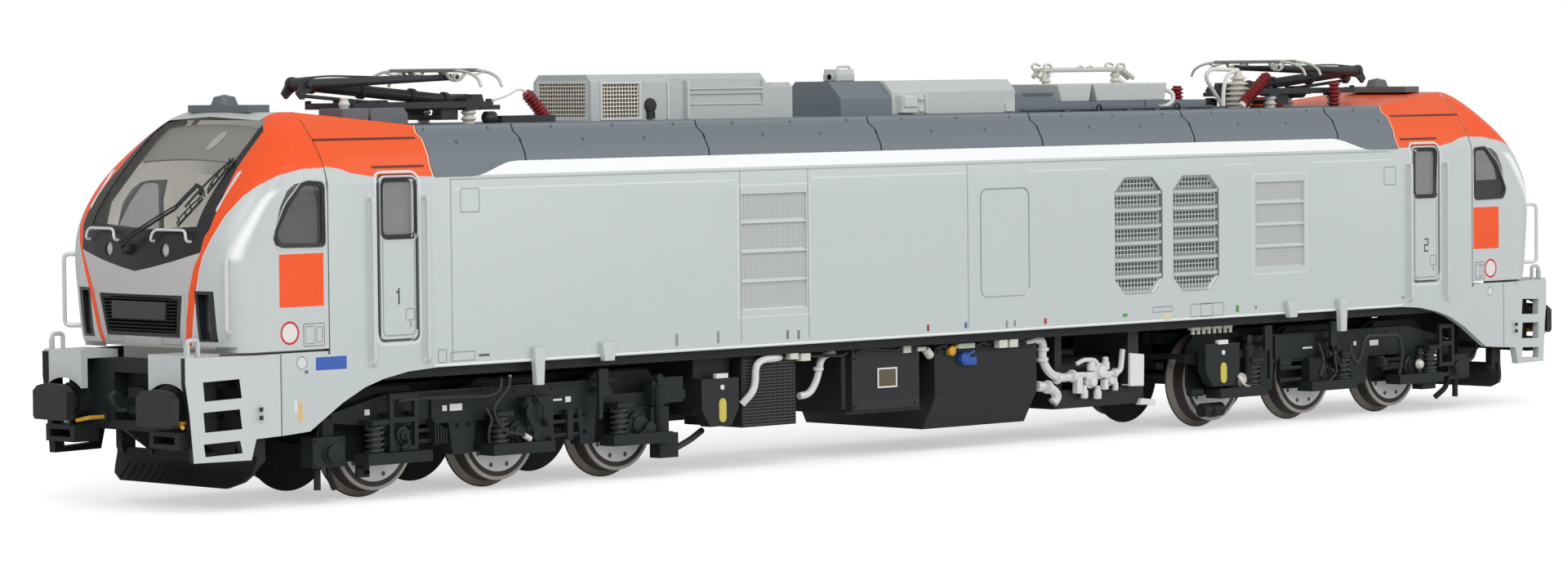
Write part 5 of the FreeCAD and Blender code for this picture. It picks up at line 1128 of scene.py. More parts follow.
def cowl_details():
    """Fine pale mesh in the cowl's front and flanks, a near-black back behind it as painted shade of the depth,
    ridges, rivets and a dark round vent.
    """
    meshes, backs, trims, dots, vents = [], [], [], [], []
    meshes += lattice((-57.45, 4.6, 46.35), NEAR, UP, 9.2, 4.65, 0.52, 0.15)
    trims.append(window_frame((-57.8, 5.0, 46.15), NEAR, UP, 10.0, 5.1, 0.4, -0.25))
    # near-black sheets behind the mesh: painted shade of the depth behind it
    backs.append(block(-57.35, -57.25, -4.75, 4.75, 46.3, 51.1))
    flank = 5.65
    for side in (-1, 1):
        face = side * flank
        meshes += lattice((-55.8, face - side * 0.3, 46.35), ALONG, UP, 6.3, 4.5, 0.52, 0.15)
        backs.append(side_block(side, -55.9, -49.4, flank - 0.44, flank - 0.38, 46.3, 50.95))
        trims.append(window_frame((-56.2, face, 46.1), ALONG, UP, 7.1, 5.0, 0.32, 0.16 * -side))
        trims += [side_block(side, x - 0.14, x + 0.14, flank, flank + 0.22, 46.1, 51.0) for x in (-44.3, -40.7)]
        trims += [side_block(side, -40.4, -27.2, flank - 0.05, flank + 0.14, z - 0.09, z + 0.09)
                  for z in (48.0, 50.05)]
        spots = [(x, face, z) for x in np.arange(-39.6, -27.4, 2.02) for z in (47.85, 49.7)]
        spots += [(x, face, 50.6) for x in (-48.4, -46.6, -25.9, -22.6)]
        dots += rivets(spots, (0, side, 0))
        dots += rivets([(x, side * 5.0, 51.7) for x in np.arange(-54.0, -27.4, 2.9)], (0, side * 0.7, 0.7))
        vents.append(turned([(-0.2, 0.95), (0.1, 1.0), (0.35, 0.9), (0.45, 0.6), (0.4, 0.2)], (-47.5, face, 47.9),
                            (0, side, 0), 16))
        vents.append(side_block(side, -48.1, -47.0, flank, flank + 0.5, 46.2, 47.1))
    build("cowl_mesh", meshes, pale_mesh, "cooling_cowls")
    build("cowl_mesh_backs", backs, shade_black, "cooling_cowls")
    build("cowl_trims", trims, light_trim, "cooling_cowls")
    build("cowl_rivets", dots, cowl_grey, "cooling_cowls")
    build("cowl_vents", vents, steel_black, "cooling_cowls")


def cabinet_details():
    """Small boxes and rivets along the grey housings, the roof light's box, strips and tubes beside them, lugs."""
    pieces = [block(-1.6, 1.5, -6.5, -5.6, 46.3, 48.7), block(-1.3, 1.2, -6.75, -6.4, 47.1, 48.5)]
    pieces += [block(3.6, 4.0, -5.95, -5.5, 46.2, 48.9), block(19.6, 21.3, -6.0, -5.5, 46.2, 47.3)]
    pieces += [block(2.2, 3.3, -5.95, -5.5, z, z + 0.75) for z in (46.4, 48.0)]
    build("cabinet_fittings", two_sided(pieces), light_trim, "roof_cabinets", bevel=0.06)
    dots = []
    for side in (-1, 1):
        dots += rivets([(x, side * 5.65, 48.9) for x in np.arange(5.0, 19.2, 2.3)], (0, side, 0))
        dots += rivets([(x, side * 5.65, 49.4) for x in np.arange(39.8, 52.0, 1.9)], (0, side, 0))
    build("cabinet_rivets", dots, box_grey, "roof_cabinets")
    head = [block(-8.9, -5.7, -1.3, 1.3, 51.7, 52.35),
            wire([(-8.4, -0.9, 51.8), (-8.4, -0.9, 52.7), (-6.1, -0.9, 52.7), (-6.1, -0.9, 51.8)], 0.2, 0.3)]
    head.append(turned([(0, 0.6), (0.25, 0.62), (0.3, 0.3)], (-9.0, -0.2, 51.3), (-1, 0, 0), 12))
    build("roof_light_box", head, light_trim, "roof_cabinets", bevel=0.05)
    # a near-black disc for the lamp's hole: painted shade
    holes = [turned([(-0.2, 0.42), (0.32, 0.4), (0.3, 0.1)], (-9.05, -0.2, 51.3), (-1, 0, 0), 10)]
    build("roof_light_hole", holes, shade_black, "roof_cabinets")
    strips = [block(62.2, 66.4, -5.4, 5.4, 45.95, 46.4), block(23.4, 29.4, -5.75, -5.5, 48.3, 48.75),
              block(23.4, 29.4, 5.5, 5.75, 48.3, 48.75)]
    strips += [block(x, x + 1.1, side * 6.0 - 0.5, side * 6.0 + 0.5, 46.0, 46.55)
               for x in (31.0, 37.2, 44.0, 50.0, 55.5) for side in (-1, 1)]
    strips += [tube([(22.5, side * 6.3, 46.35), (62.5, side * 6.3, 46.35)], 0.22, 8) for side in (-1, 1)]
    build("roof_bed_strips", strips, slate_trim, "roof_fairings", bevel=0.05)
    build("roof_orange_box", [block(78.0, 88.6, 2.2, 5.6, 46.0, 47.5)], orange_red, "roof_cabinets", bevel=0.3)
    lugs = [wire([(x - 0.5, y, 46.0), (x - 0.4, y, 46.9), (x + 0.4, y, 46.9), (x + 0.5, y, 46.0)], 0.13, 0.5)
            for x in (38.0, 54.6) for y in (-6.6, 6.6)]
    build("lifting_lugs", lugs, steel_black, "roof_fairings")


def high_voltage_gear():
    """Two parallel silver tubes with clamps, the bent lead, the roof's insulators, the arresters and the leads."""
    z = 51.9
    bars = [wire([(31.9, y, z - 1.0), (33.0, y, z), (49.6, y, z), (51.9, y, z - 1.3)], 0.34, 1.0)
            for y in (-0.5, 0.5)]
    for x in (33.4, 48.8):
        bars.append(block(x - 0.9, x + 0.9, -1.0, 1.0, z - 0.15, z + 0.25))
        bars.append(wire([(x - 0.6, -0.9, z - 0.4), (x - 0.8, -0.9, z + 0.75), (x + 0.8, -0.9, z + 0.75),
                          (x + 0.7, -0.9, z - 0.5)], 0.2, 0.5))
        bars.append(wire([(x - 1.4, 0.2, z - 0.2), (x - 2.2, 0.2, z + 0.5), (x - 1.5, 0.2, z + 1.0),
                          (x - 0.4, 0.2, z + 0.6)], 0.18, 0.5))
        bars.append(turned([(0, 0.5), (1.1, 0.55), (1.6, 0.3)], (x, 0, z - 1.6), UP, 12))
    for x in (40.0, 42.0):
        bars.append(wire([(x, -0.7, z + 0.3), (x + 0.5, -0.7, z + 0.62), (x + 1.0, -0.7, z + 0.3)], 0.13, 0.3))
    build("high_voltage_bar_tubes", bars, silver, "high_voltage_bar", replaces=("high_voltage_bar",))
    lead = [wire([(48.8, -0.2, 50.6), (50.2, -1.6, 49.2), (53.0, -4.0, 49.2), (54.8, -5.6, 48.6), (54.6, -5.9, 47.2),
                  (52.6, -5.9, 46.4), (51.4, -5.9, 46.4)], 0.32, 1.4)]
    build("high_voltage_lead", lead, white_cable, "high_voltage_bar")
    profile = [(0.0, 1.7), (0.3, 1.7)]
    for i, r in enumerate((2.1, 2.05, 1.9, 1.75, 1.55, 1.2)):
        profile += [(0.4 + 0.75 * i, 0.62 * r), (0.5 + 0.75 * i, r), (0.62 + 0.75 * i, r), (0.95 + 0.75 * i, 0.6 * r)]
    profile += [(5.1, 0.5), (5.5, 0.5), (5.6, 0.2)]
    shells = [turned(profile, (71.6, -3.4, 46.0), UP, 24)]
    shells += [sheds((x, 0, 49.8), UP, 1.9, 0.45, 0.72, 2, 16) for x in (34.0, 48.5)]
    for end in (-1, 1):
        for x in (PANTOGRAPH_X + 16.3, PANTOGRAPH_X + 2.0):
            for y in (-4.45, 4.45):
                shells.append(sheds((end * x, y, 46.0), UP, 2.1, 0.62, 0.98, 2, 16))
    shells.append(sheds((-98.6, -5.6, 48.0), UP, 1.5, 0.5, 0.75, 1, 16))
    build("roof_insulator_sheds", shells, porcelain, "roof_insulators", replaces=("roof_insulators",))
    red = [sheds(*values, 16) for values in (((-63.5, -3.4, 46.5), (-0.72, 0, 0.7), 4.7, 0.52, 0.86, 8),
                                             ((69.0, -6.6, 46.6), (0.8, 0, 0.6), 6.9, 0.55, 0.9, 10),
                                             ((90.2, -6.1, 46.0), UP, 3.8, 0.6, 0.9, 6),
                                             ((58.6, -3.0, 47.4), UP, 2.0, 0.55, 0.95, 3))]
    build("arrester_sheds", red, dark_red, "arresters", replaces=("arresters",))
    caps = [turned([(-0.4, 0.55), (0, 0.6), (0.05, 0.35)], (-63.5, -3.4, 46.5), (-0.72, 0, 0.7), 12),
            turned([(-0.6, 0.6), (0, 0.6), (0.05, 0.3)], (69.0, -6.6, 46.6), (0.8, 0, 0.6), 12)]
    caps.append(wire([(-66.8, -3.4, 49.8), (-68.0, -3.4, 50.4), (-70.0, -3.2, 49.4), (-72.6, -3.6, 48.9)],
                     0.13, 1.0, 6))
    caps.append(wire([(71.6, -3.4, 51.6), (68.6, -3.9, 51.0), (67.3, -4.3, 49.0), (66.9, -4.6, 46.2)], 0.3, 1.4))
    caps.append(wire([(71.6, -3.4, 51.6), (66.2, -2.6, 51.8), (65.4, -2.4, 50.6), (69.6, -2.2, 46.2)], 0.3, 1.2))
    caps.append(wire([(74.6, -6.6, 50.8), (75.4, -5.6, 51.2), (76.2, -4.6, 49.8)], 0.13, 0.6, 6))
    build("roof_leads", caps, white_cable, "roof_insulators")


# ---- pantographs ----


def lying_coil(start, stop, radius, wire_radius, turns):
    """A coil spring along the line from start to stop."""
    start, stop = np.array(start, float), np.array(stop, float)
    ahead = unit(stop - start)
    side = unit(np.cross(ahead, UP))
    over = np.cross(side, ahead)
    t = np.linspace(0, 1, int(turns * 10) + 1)[:, None]
    turn = 2 * np.pi * turns * t
    path = start + (stop - start) * t + radius * (np.cos(turn) * side + np.sin(turn) * over)
    return tube(path, wire_radius, 5)


def pantograph_details():
    """Silver collector head with bent horns and springs, round upper arms, collars on the lower arm, base springs."""
    top, w, hx, pivot = 53.0, 11.2, -79.4, 51.9
    silver_parts, strips, springs = [], [], []
    for dx in (-1.7, 1.7):
        x = hx + dx
        horn = [(x, -w, top - 2.3), (x, -w + 0.5, top - 1.3), (x, -w + 2.0, top - 0.62), (x, -7.2, top - 0.28),
                (x, 7.2, top - 0.28), (x, w - 2.0, top - 0.62), (x, w - 0.5, top - 1.3), (x, w, top - 2.3)]
        silver_parts.append(wire(horn, 0.2, 1.3))
        strips.append(prism([(x - 0.45, top - 0.42), (x + 0.45, top - 0.42), (x + 0.42, top - 0.06), (x + 0.2, top),
                             (x - 0.2, top), (x - 0.42, top - 0.06)], 1, -6.4, 6.4))
    for side in (-1, 1):
        y = side * 4.2
        silver_parts.append(wire([(hx - 1.7, y, top - 0.35), (hx - 0.9, y, pivot - 0.35), (hx + 0.9, y, pivot - 0.35),
                                  (hx + 1.7, y, top - 0.35)], 0.24, 0.7))
        silver_parts.append(turned([(-0.35, 0.5), (0.35, 0.5)], (hx, y, pivot), (0, side, 0), 14))
        for yy in (-7.9, 7.9):
            silver_parts.append(wire([(hx - 1.7, yy, top - 0.45), (hx, yy, top - 0.85), (hx + 1.7, yy, top - 0.45)],
                                     0.13, 0.6, 6))
        springs.append(lying_coil((hx - 0.5, side * 3.0, pivot + 0.1), (hx - 1.5, side * 3.0, top - 0.45),
                                  0.26, 0.08, 6))
    heads = ("pantograph_1_head", "pantograph_2_head")
    both_ends("pantograph_head_tubes", silver_parts, silver, "pantograph_head", heads,
              (("pantograph_head_1",), ("pantograph_head_2",)))
    both_ends("pantograph_strips", strips, strip_grey, "pantograph_head", heads, bevel=0.05)
    both_ends("pantograph_head_springs", springs, silver, "pantograph_head", heads)
    knee = (-101.2, 51.2)
    arms, ties = [], []
    for side in (-1, 1):
        path = np.linspace((knee[0], side * 1.45, knee[1]), (hx, side * 3.6, pivot), 7)
        arms.append(tube(path, (0.62, 0.6, 0.56, 0.5, 0.46, 0.42, 0.4), 14, (0, 1, 0.1)))
        arms.append(turned([(-0.3, 0.95), (0.3, 0.95)], (knee[0], side * 1.45, knee[1]), (0, side, 0), 18))
        arms.append(turned([(-0.1, 0.45), (0.55, 0.42), (0.6, 0.2)], (knee[0], side * 1.7, knee[1]), (0, side, 0), 6))
        arms.append(prism([(knee[0] + 0.6, 50.7), (knee[0] - 0.5, 51.8), (-102.85, 50.1), (-102.2, 49.4)], 1,
                          *sorted((side * 1.2, side * 1.7))))
        arms.append(turned([(-0.32, 0.45), (0.32, 0.45)], (hx, side * 3.7, pivot), (0, side, 0), 14))
    arms.append(tube([(hx, -4.6, pivot), (hx, 4.6, pivot)], 0.3, 12))
    for share, y in ((0.25, 1.9), (0.55, 2.5), (0.8, 3.1)):
        x, z = knee[0] + share * (hx - knee[0]), knee[1] + share * (pivot - knee[1])
        ties.append(tube([(x, -y, z), (x, y, z)], 0.2, 8))
    x0, x1 = knee[0] + 0.55 * (hx - knee[0]), knee[0] + 0.8 * (hx - knee[0])
    ties.append(tube([(x0, -2.5, 51.58), (x1, 3.1, 51.76)], 0.14, 8))
    ties.append(wire([(knee[0], 0.0, 51.95), (-96.0, 0.6, 52.25), (-88.0, -0.4, 52.0), (-84.0, 0, 51.8)],
                     0.12, 2.0, 6))
    uppers = ("pantograph_1_upper_arm", "pantograph_2_upper_arm")
    both_ends("pantograph_upper_tubes", arms + ties, panto_black, "pantograph_upper_arm", uppers,
              (("pantograph_upper_arm_1",), ("pantograph_upper_arm_2",)))
    lowers = ("pantograph_1_lower_arm", "pantograph_2_lower_arm")
    base = np.array((-PANTOGRAPH_X, 0, 48.8))
    away = np.array((knee[0], 0, knee[1])) - base
    ahead = unit(away)
    collars = [turned([(-0.4, 0.9), (-0.3, 1.02), (0.3, 1.02), (0.4, 0.9)], base + away * s, ahead, 18)
               for s in (0.09, 0.3, 0.62, 0.93)]
    collars.append(wire([base + away * 0.12 + (0, 1.15, 0.2), base + away * 0.5 + (0, 1.25, 0.1),
                         base + away * 0.9 + (0, 1.1, 0.2)], 0.14, 1.0, 6))
    collars += [block(-78.4, -76.9, -2.2, 2.2, 48.15, 48.75)]
    both_ends("pantograph_collars", collars, panto_black, "pantograph_lower_arm", lowers)
    frame_parts, coils = [], []
    for side in (-1, 1):
        coils.append(lying_coil((-77.6, side * 2.1, 48.3), (-84.6, side * 2.1, 48.3), 0.42, 0.13, 16))
        frame_parts.append(tube([(-86.2, side * 2.1, 48.3), (-77.0, side * 2.1, 48.3)], 0.18, 8))
        frame_parts.append(side_block(side, -87.0, -86.0, 1.5, 4.3, 47.9, 48.7))
        for x in (-96.3, -91.8, -77.5, -74.1):
            frame_parts.append(turned([(0, 0.42), (0.28, 0.42), (0.32, 0.2)], (x, side * 4.45, 48.8), UP, 6))
        frame_parts.append(side_block(side, -92.6, -90.6, 3.6, 5.3, 47.7, 48.1))
        frame_parts.append(side_block(side, -78.6, -76.4, 3.6, 5.3, 47.7, 48.1))
    frame_parts.append(turned([(0, 0.9), (2.6, 0.9), (2.8, 0.6), (3.6, 0.3)], (-90.0, 0.0, 48.2), ALONG, 16))
    frame_parts.append(block(-73.9, -70.6, -2.6, 2.6, 47.7, 48.3))
    frame_parts.append(block(-71.8, -62.8, -4.4, -1.4, 46.0, 46.9))
    frame_parts.append(turned([(-0.2, 0.8), (1.2, 0.8), (1.5, 0.5)], (-72.6, -3.4, 46.7), (-1, 0, 0), 14))
    both_ends("pantograph_base_parts", frame_parts, panto_black, "pantograph_base")
    both_ends("pantograph_base_springs", coils, dark_steel, "pantograph_base")


# ---- running gear and under-floor parts ----


def axle_cover(x, y):
    """A round axle-box cover: a stepped disc with six bolts."""
    side, bolt_ring = math.copysign(1, y), 1.42
    shells = [turned([(-0.3, 1.75), (0.1, 1.75), (0.2, 1.6), (0.3, 1.25), (0.55, 1.2), (0.62, 0.9), (0.7, 0.5)],
                     (x, y, AXLE_HEIGHT), (0, side, 0), 24)]
    for turn in np.arange(6) * np.pi / 3 + 0.3:
        foot = (x + bolt_ring * math.cos(turn), y + side * 0.15, AXLE_HEIGHT + bolt_ring * math.sin(turn))
        shells.append(turned([(0, 0.2), (0.28, 0.2), (0.34, 0.1)], foot, (0, side, 0), 6))
    return shells


def damper(x, y, z0, z1, radius=0.62):
    """An upright damper: rod, sleeve, body and an eye at each end."""
    height = z1 - z0
    profile = [(0, 0.3), (0.06 * height, 0.32), (0.12 * height, radius), (0.52 * height, radius),
               (0.55 * height, 1.2 * radius), (0.86 * height, 1.2 * radius), (0.88 * height, 0.4), (height, 0.34)]
    eyes = [turned([(-0.4, 0.55), (0.4, 0.55)], (x, y, z), (0, 1, 0), 12) for z in (z0, z1)]
    return [turned(profile, (x, y, z0), UP, 14)] + eyes


def plug(x, z, r):
    """A round plug with a collar on the photographed side of a bogie."""
    return turned([(-0.8, r), (0.3, r), (0.35, 0.7 * r), (0.75, 0.65 * r), (0.8, 0.2)], (x, -14.8, z), NEAR, 10)


def plate(x0, x1, y, z0, z1):
    """A thin label on a face at y."""
    return block(x0, x1, y - 0.06, y, z0, z1)


def gauge(x, y, z0, z1, r=0.62):
    """An oblong gauge glass, its round plug above it and the cap on top of its box."""
    outline = [(x - r, z0 + r), (x - 0.7 * r, z0 + 0.3 * r), (x, z0), (x + 0.7 * r, z0 + 0.3 * r), (x + r, z0 + r),
               (x + r, z1 - r), (x + 0.7 * r, z1 - 0.3 * r), (x, z1), (x - 0.7 * r, z1 - 0.3 * r), (x - r, z1 - r)]
    spots = [turned([(-0.1, 0.36), (0.12, 0.34), (0.16, 0.1)], (x, y, z1 + 1.4), NEAR, 12),
             block(x - 1.1, x + 1.0, y - 0.1, y + 0.5, z1 + 2.6, z1 + 3.2)]
    return [prism(outline, 1, y - 0.14, y + 0.1)], spots


def bogies():
    """Coil springs, axle covers, pipes, dampers, bolts and blank labels of the bogies, each side by its own view."""
    coils, covers, fittings = [], [], []
    for side in (-1, 1):
        for x in AXLES:
            foot = (x - 3.6, side * 14.45)
            coils.append(coil((*foot, 5.98), 1.08, 0.2, 5.5, 3.55))
            coils.append(turned([(0, 0.8), (3.5, 0.8)], (*foot, 6.0), UP, 12))
            covers += axle_cover(x, side * 14.05)
            fittings.append(turned([(0, 1.32), (0.28, 1.32), (0.34, 0.9)], (*foot, 9.45), UP, 16))
            fittings.append(turned([(-0.4, 0.5), (0.0, 0.5), (0.2, 1.3), (0.3, 1.3)], (*foot, 5.8), UP, 16))
        # beam top and bottom flanges
        for z in (9.12, 12.95):
            fittings.append(side_block(side, -98.5, -61.0, 13.05, 13.32, z - 0.1, z + 0.16))
        for x in np.arange(-96.5, -62.0, 3.1):
            fittings.append(turned([(0, 0.17), (0.12, 0.15), (0.18, 0.05)], (x, side * 13.1, 12.4), (0, side, 0), 6))
        fittings.append(turned([(0, 1.45), (0.25, 1.45), (0.3, 1.15), (0.7, 1.1), (0.8, 0.6)],
                               (-108.4, side * 14.4, 6.4), (0, side, 0), 20))
        fittings.append(wire([(-108.0, side * 13.1, 5.0), (-107.7, side * 13.0, 3.4), (-106.2, side * 12.0, 1.9)],
                             0.42, 0.8))
        for x in (-110.9, -106.7):
            for z in (5.1, 8.0):
                fittings.append(turned([(0, 0.2), (0.15, 0.2), (0.2, 0.08)], (x, side * 14.5, z), (0, side, 0), 6))
        for x0, z in ((-96.2, 8.3), (-96.2, 7.0), (-73.0, 8.15), (-73.0, 6.45)):
            fittings.append(tube([(x0, side * 13.9, z), (x0 + 4.8, side * 13.9, z)], 0.28, 8))
    fittings += damper(-54.8, -14.7, 5.6, 12.9)
    fittings += [
        turned([(0, 0.95), (0.8, 0.95), (1.0, 0.6)], (-56.6, -14.4, 6.4), NEAR, 14),
        block(-56.1, -53.2, -14.7, -13.2, 5.8, 7.4),
        wire([(-61.1, -15.5, 7.0), (-60.9, -15.5, 5.9), (-59.2, -15.4, 5.6), (-57.0, -14.9, 6.4)], 0.3, 0.6)]
    fittings += several(plug, (-77.4, 10.6, 0.62), (-75.8, 11.2, 0.5), (-74.2, 8.3, 0.55), (-76.4, 6.6, 0.7),
                        (-73.7, 6.2, 0.45), (-77.2, 8.6, 0.5))
    fittings += [
        wire([(-77.4, -15.3, 10.6), (-77.9, -15.5, 9.4), (-77.3, -15.5, 8.4), (-76.4, -15.4, 6.8)], 0.2, 0.6),
        wire([(-75.8, -15.3, 11.2), (-75.0, -15.6, 10.2), (-75.4, -15.6, 9.0), (-74.2, -15.4, 8.3)], 0.2, 0.6),
        turned([(-0.3, 1.0), (0.1, 1.05), (0.2, 0.7), (0.5, 0.65)], (-97.6, -14.9, 8.0), NEAR, 16),
        wire([(-97.6, -15.4, 8.0), (-97.0, -15.5, 6.9), (-98.3, -15.5, 6.4)], 0.28, 0.4)]
    fittings += [block(-92.5 + 0.42 * k, -92.3 + 0.42 * k, -15.0, -13.3, 6.6, 9.4 - 0.25 * k) for k in range(5)]
    hoses = several(
        wire,
        ([(-80.0, -14.6, 14.3), (-80.3, -15.0, 13.1), (-83.2, -15.3, 10.9), (-83.1, -15.4, 9.6), (-81.8, -15.5, 7.5),
          (-77.8, -15.2, 6.9)], 0.26, 1.2),
        ([(-81.3, -14.6, 14.2), (-81.8, -15.0, 12.7), (-83.8, -15.2, 12.05), (-95.3, -15.2, 12.4),
          (-98.4, -15.0, 12.2)], 0.24, 1.2),
        ([(-84.4, -15.1, 10.7), (-83.4, -15.3, 9.2), (-84.1, -15.2, 7.6), (-83.6, -14.9, 6.2)], 0.2, 0.8),
        ([(-50.9, -13.4, 3.5), (-47.6, -12.8, 4.4), (-44.3, -11.5, 5.4)], 0.42, 1.5))
    chrome = several(
        turned,
        ([(-0.2, 0.4), (0.9, 0.45), (1.0, 0.2)], (-78.1, -15.3, 6.8), (0.8, 0, -0.45), 12),
        ([(-0.2, 0.42), (0.9, 0.42), (1.0, 0.2)], (-57.0, -14.9, 6.5), (0.8, 0, -0.3), 12),
        ([(0, 0.2), (0.4, 0.22), (0.45, 0.1)], (-79.9, -14.6, 14.1), UP, 8))
    # near-black discs for holes in the frame: painted shade
    holes = [turned([(-0.1, 0.28), (0.05, 0.28), (0.06, 0.05)], (x, y, z), NEAR, 10) for x, y, z in (
        (-87.6, -13.42, 8.6), (-85.9, -13.42, 8.6), (-66.5, -13.45, 8.8), (-66.4, -13.45, 6.6),
        (-102.9, -13.42, 4.4), (-102.0, -13.42, 3.6))]
    labels = several(plate, (-102.2, -101.4, -13.12, 10.6, 11.3), (-90.1, -89.4, -13.52, 10.5, 11.2),
                     (-88.9, -86.9, -13.52, 10.45, 11.3), (-73.1, -70.0, -13.12, 10.75, 11.0),
                     (-69.4, -68.5, -13.12, 10.5, 11.2))
    fittings += [turned([(0, 0.22), (0.3, 0.22)], (x, -14.2, 13.0), UP, 8) for x in (-83.9, -82.7)]
    # the other side, written as end 2's photographed side shows it
    other_hoses = several(
        wire,
        ([(84.3, -14.9, 8.0), (84.9, -15.3, 9.0), (85.9, -15.4, 12.2), (93.6, -15.4, 12.0), (94.6, -15.3, 9.4),
          (94.2, -15.0, 5.9)], 0.3, 0.9),
        ([(104.7, -14.3, 5.1), (113.2, -13.8, 7.6), (114.3, -13.6, 9.6)], 0.3, 0.9),
        ([(75.8, -14.9, 11.6), (76.7, -15.3, 9.1), (75.7, -15.3, 6.7)], 0.22, 1.0),
        ([(78.8, -14.8, 11.5), (80.4, -15.2, 8.1), (81.6, -15.0, 6.4)], 0.22, 1.0),
        ([(79.7, -14.8, 11.3), (78.9, -15.3, 9.2), (79.6, -15.3, 7.0), (77.9, -15.2, 5.9)], 0.22, 1.0),
        ([(83.2, -14.8, 11.0), (82.6, -15.3, 9.3), (84.0, -15.4, 8.2), (85.2, -14.9, 9.5)], 0.24, 0.8))
    other = damper(60.4, -14.7, 6.2, 12.9) + damper(98.9, -14.9, 4.9, 9.2, 0.55)
    other += several(plug, (77.9, 9.9, 0.6), (79.6, 10.7, 0.5), (80.6, 8.8, 0.55), (82.0, 7.4, 0.6), (78.4, 7.4, 0.5),
                     (61.9, 9.6, 0.5), (90.3, 8.2, 0.8))
    other += several(
        turned,
        ([(-1.0, 1.0), (1.0, 1.0), (1.2, 0.7)], (52.4, -13.6, 2.95), ALONG, 16),
        ([(-1.2, 1.0), (1.6, 1.0), (1.8, 0.7)], (54.0, -13.6, 2.95), ALONG, 16),
        ([(0, 0.6), (2.6, 0.6), (2.7, 0.3)], (48.9, -13.6, 5.6), ALONG, 12))
    other_chrome = [
        turned([(-0.1, 1.05), (0.15, 1.0), (0.35, 0.75), (0.7, 0.4)], (59.0, -14.6, 7.0), (-0.2, -1, 0), 16),
        turned([(-0.1, 0.75), (0.15, 0.8), (0.6, 0.55), (0.75, 0.2)], (98.4, -15.3, 7.4), NEAR, 12),
        wire([(57.9, -14.9, 7.7), (58.9, -15.2, 6.2), (60.6, -15.0, 5.9)], 0.24, 0.8)]
    other_labels = several(plate, (89.6, 91.6, -13.12, 10.5, 11.3), (85.9, 86.5, -13.12, 10.7, 11.3),
                           (73.9, 76.0, -13.52, 10.75, 11.0))
    both_ends("bogie_coils", coils, spring_black, "bogie_springs", BOGIES,
              (("bogie_springs_1",), ("bogie_springs_2",)))
    both_ends("axle_covers", covers, running, "bogie_frame", BOGIES)
    both_ends("bogie_fittings", fittings + half_turned(other), running, "bogie_gear", BOGIES)
    both_ends("bogie_hoses", hoses + half_turned(other_hoses), hose_black, "bogie_gear", BOGIES)
    both_ends("bogie_chrome", chrome + half_turned(other_chrome), silver, "bogie_gear", BOGIES)
    both_ends("bogie_holes", holes, shade_black, "bogie_frame", BOGIES)
    both_ends("bogie_labels", labels + half_turned(other_labels), label_white, "bogie_frame", BOGIES)
    glass, spots = gauge(54.0, -15.6, 6.8, 9.8)
    both_ends("sand_gauge_glass", half_turned(glass), gauge_yellow, "bogie_frame", BOGIES)
    both_ends("sand_gauge_marks", half_turned(spots), label_white, "bogie_frame", BOGIES)


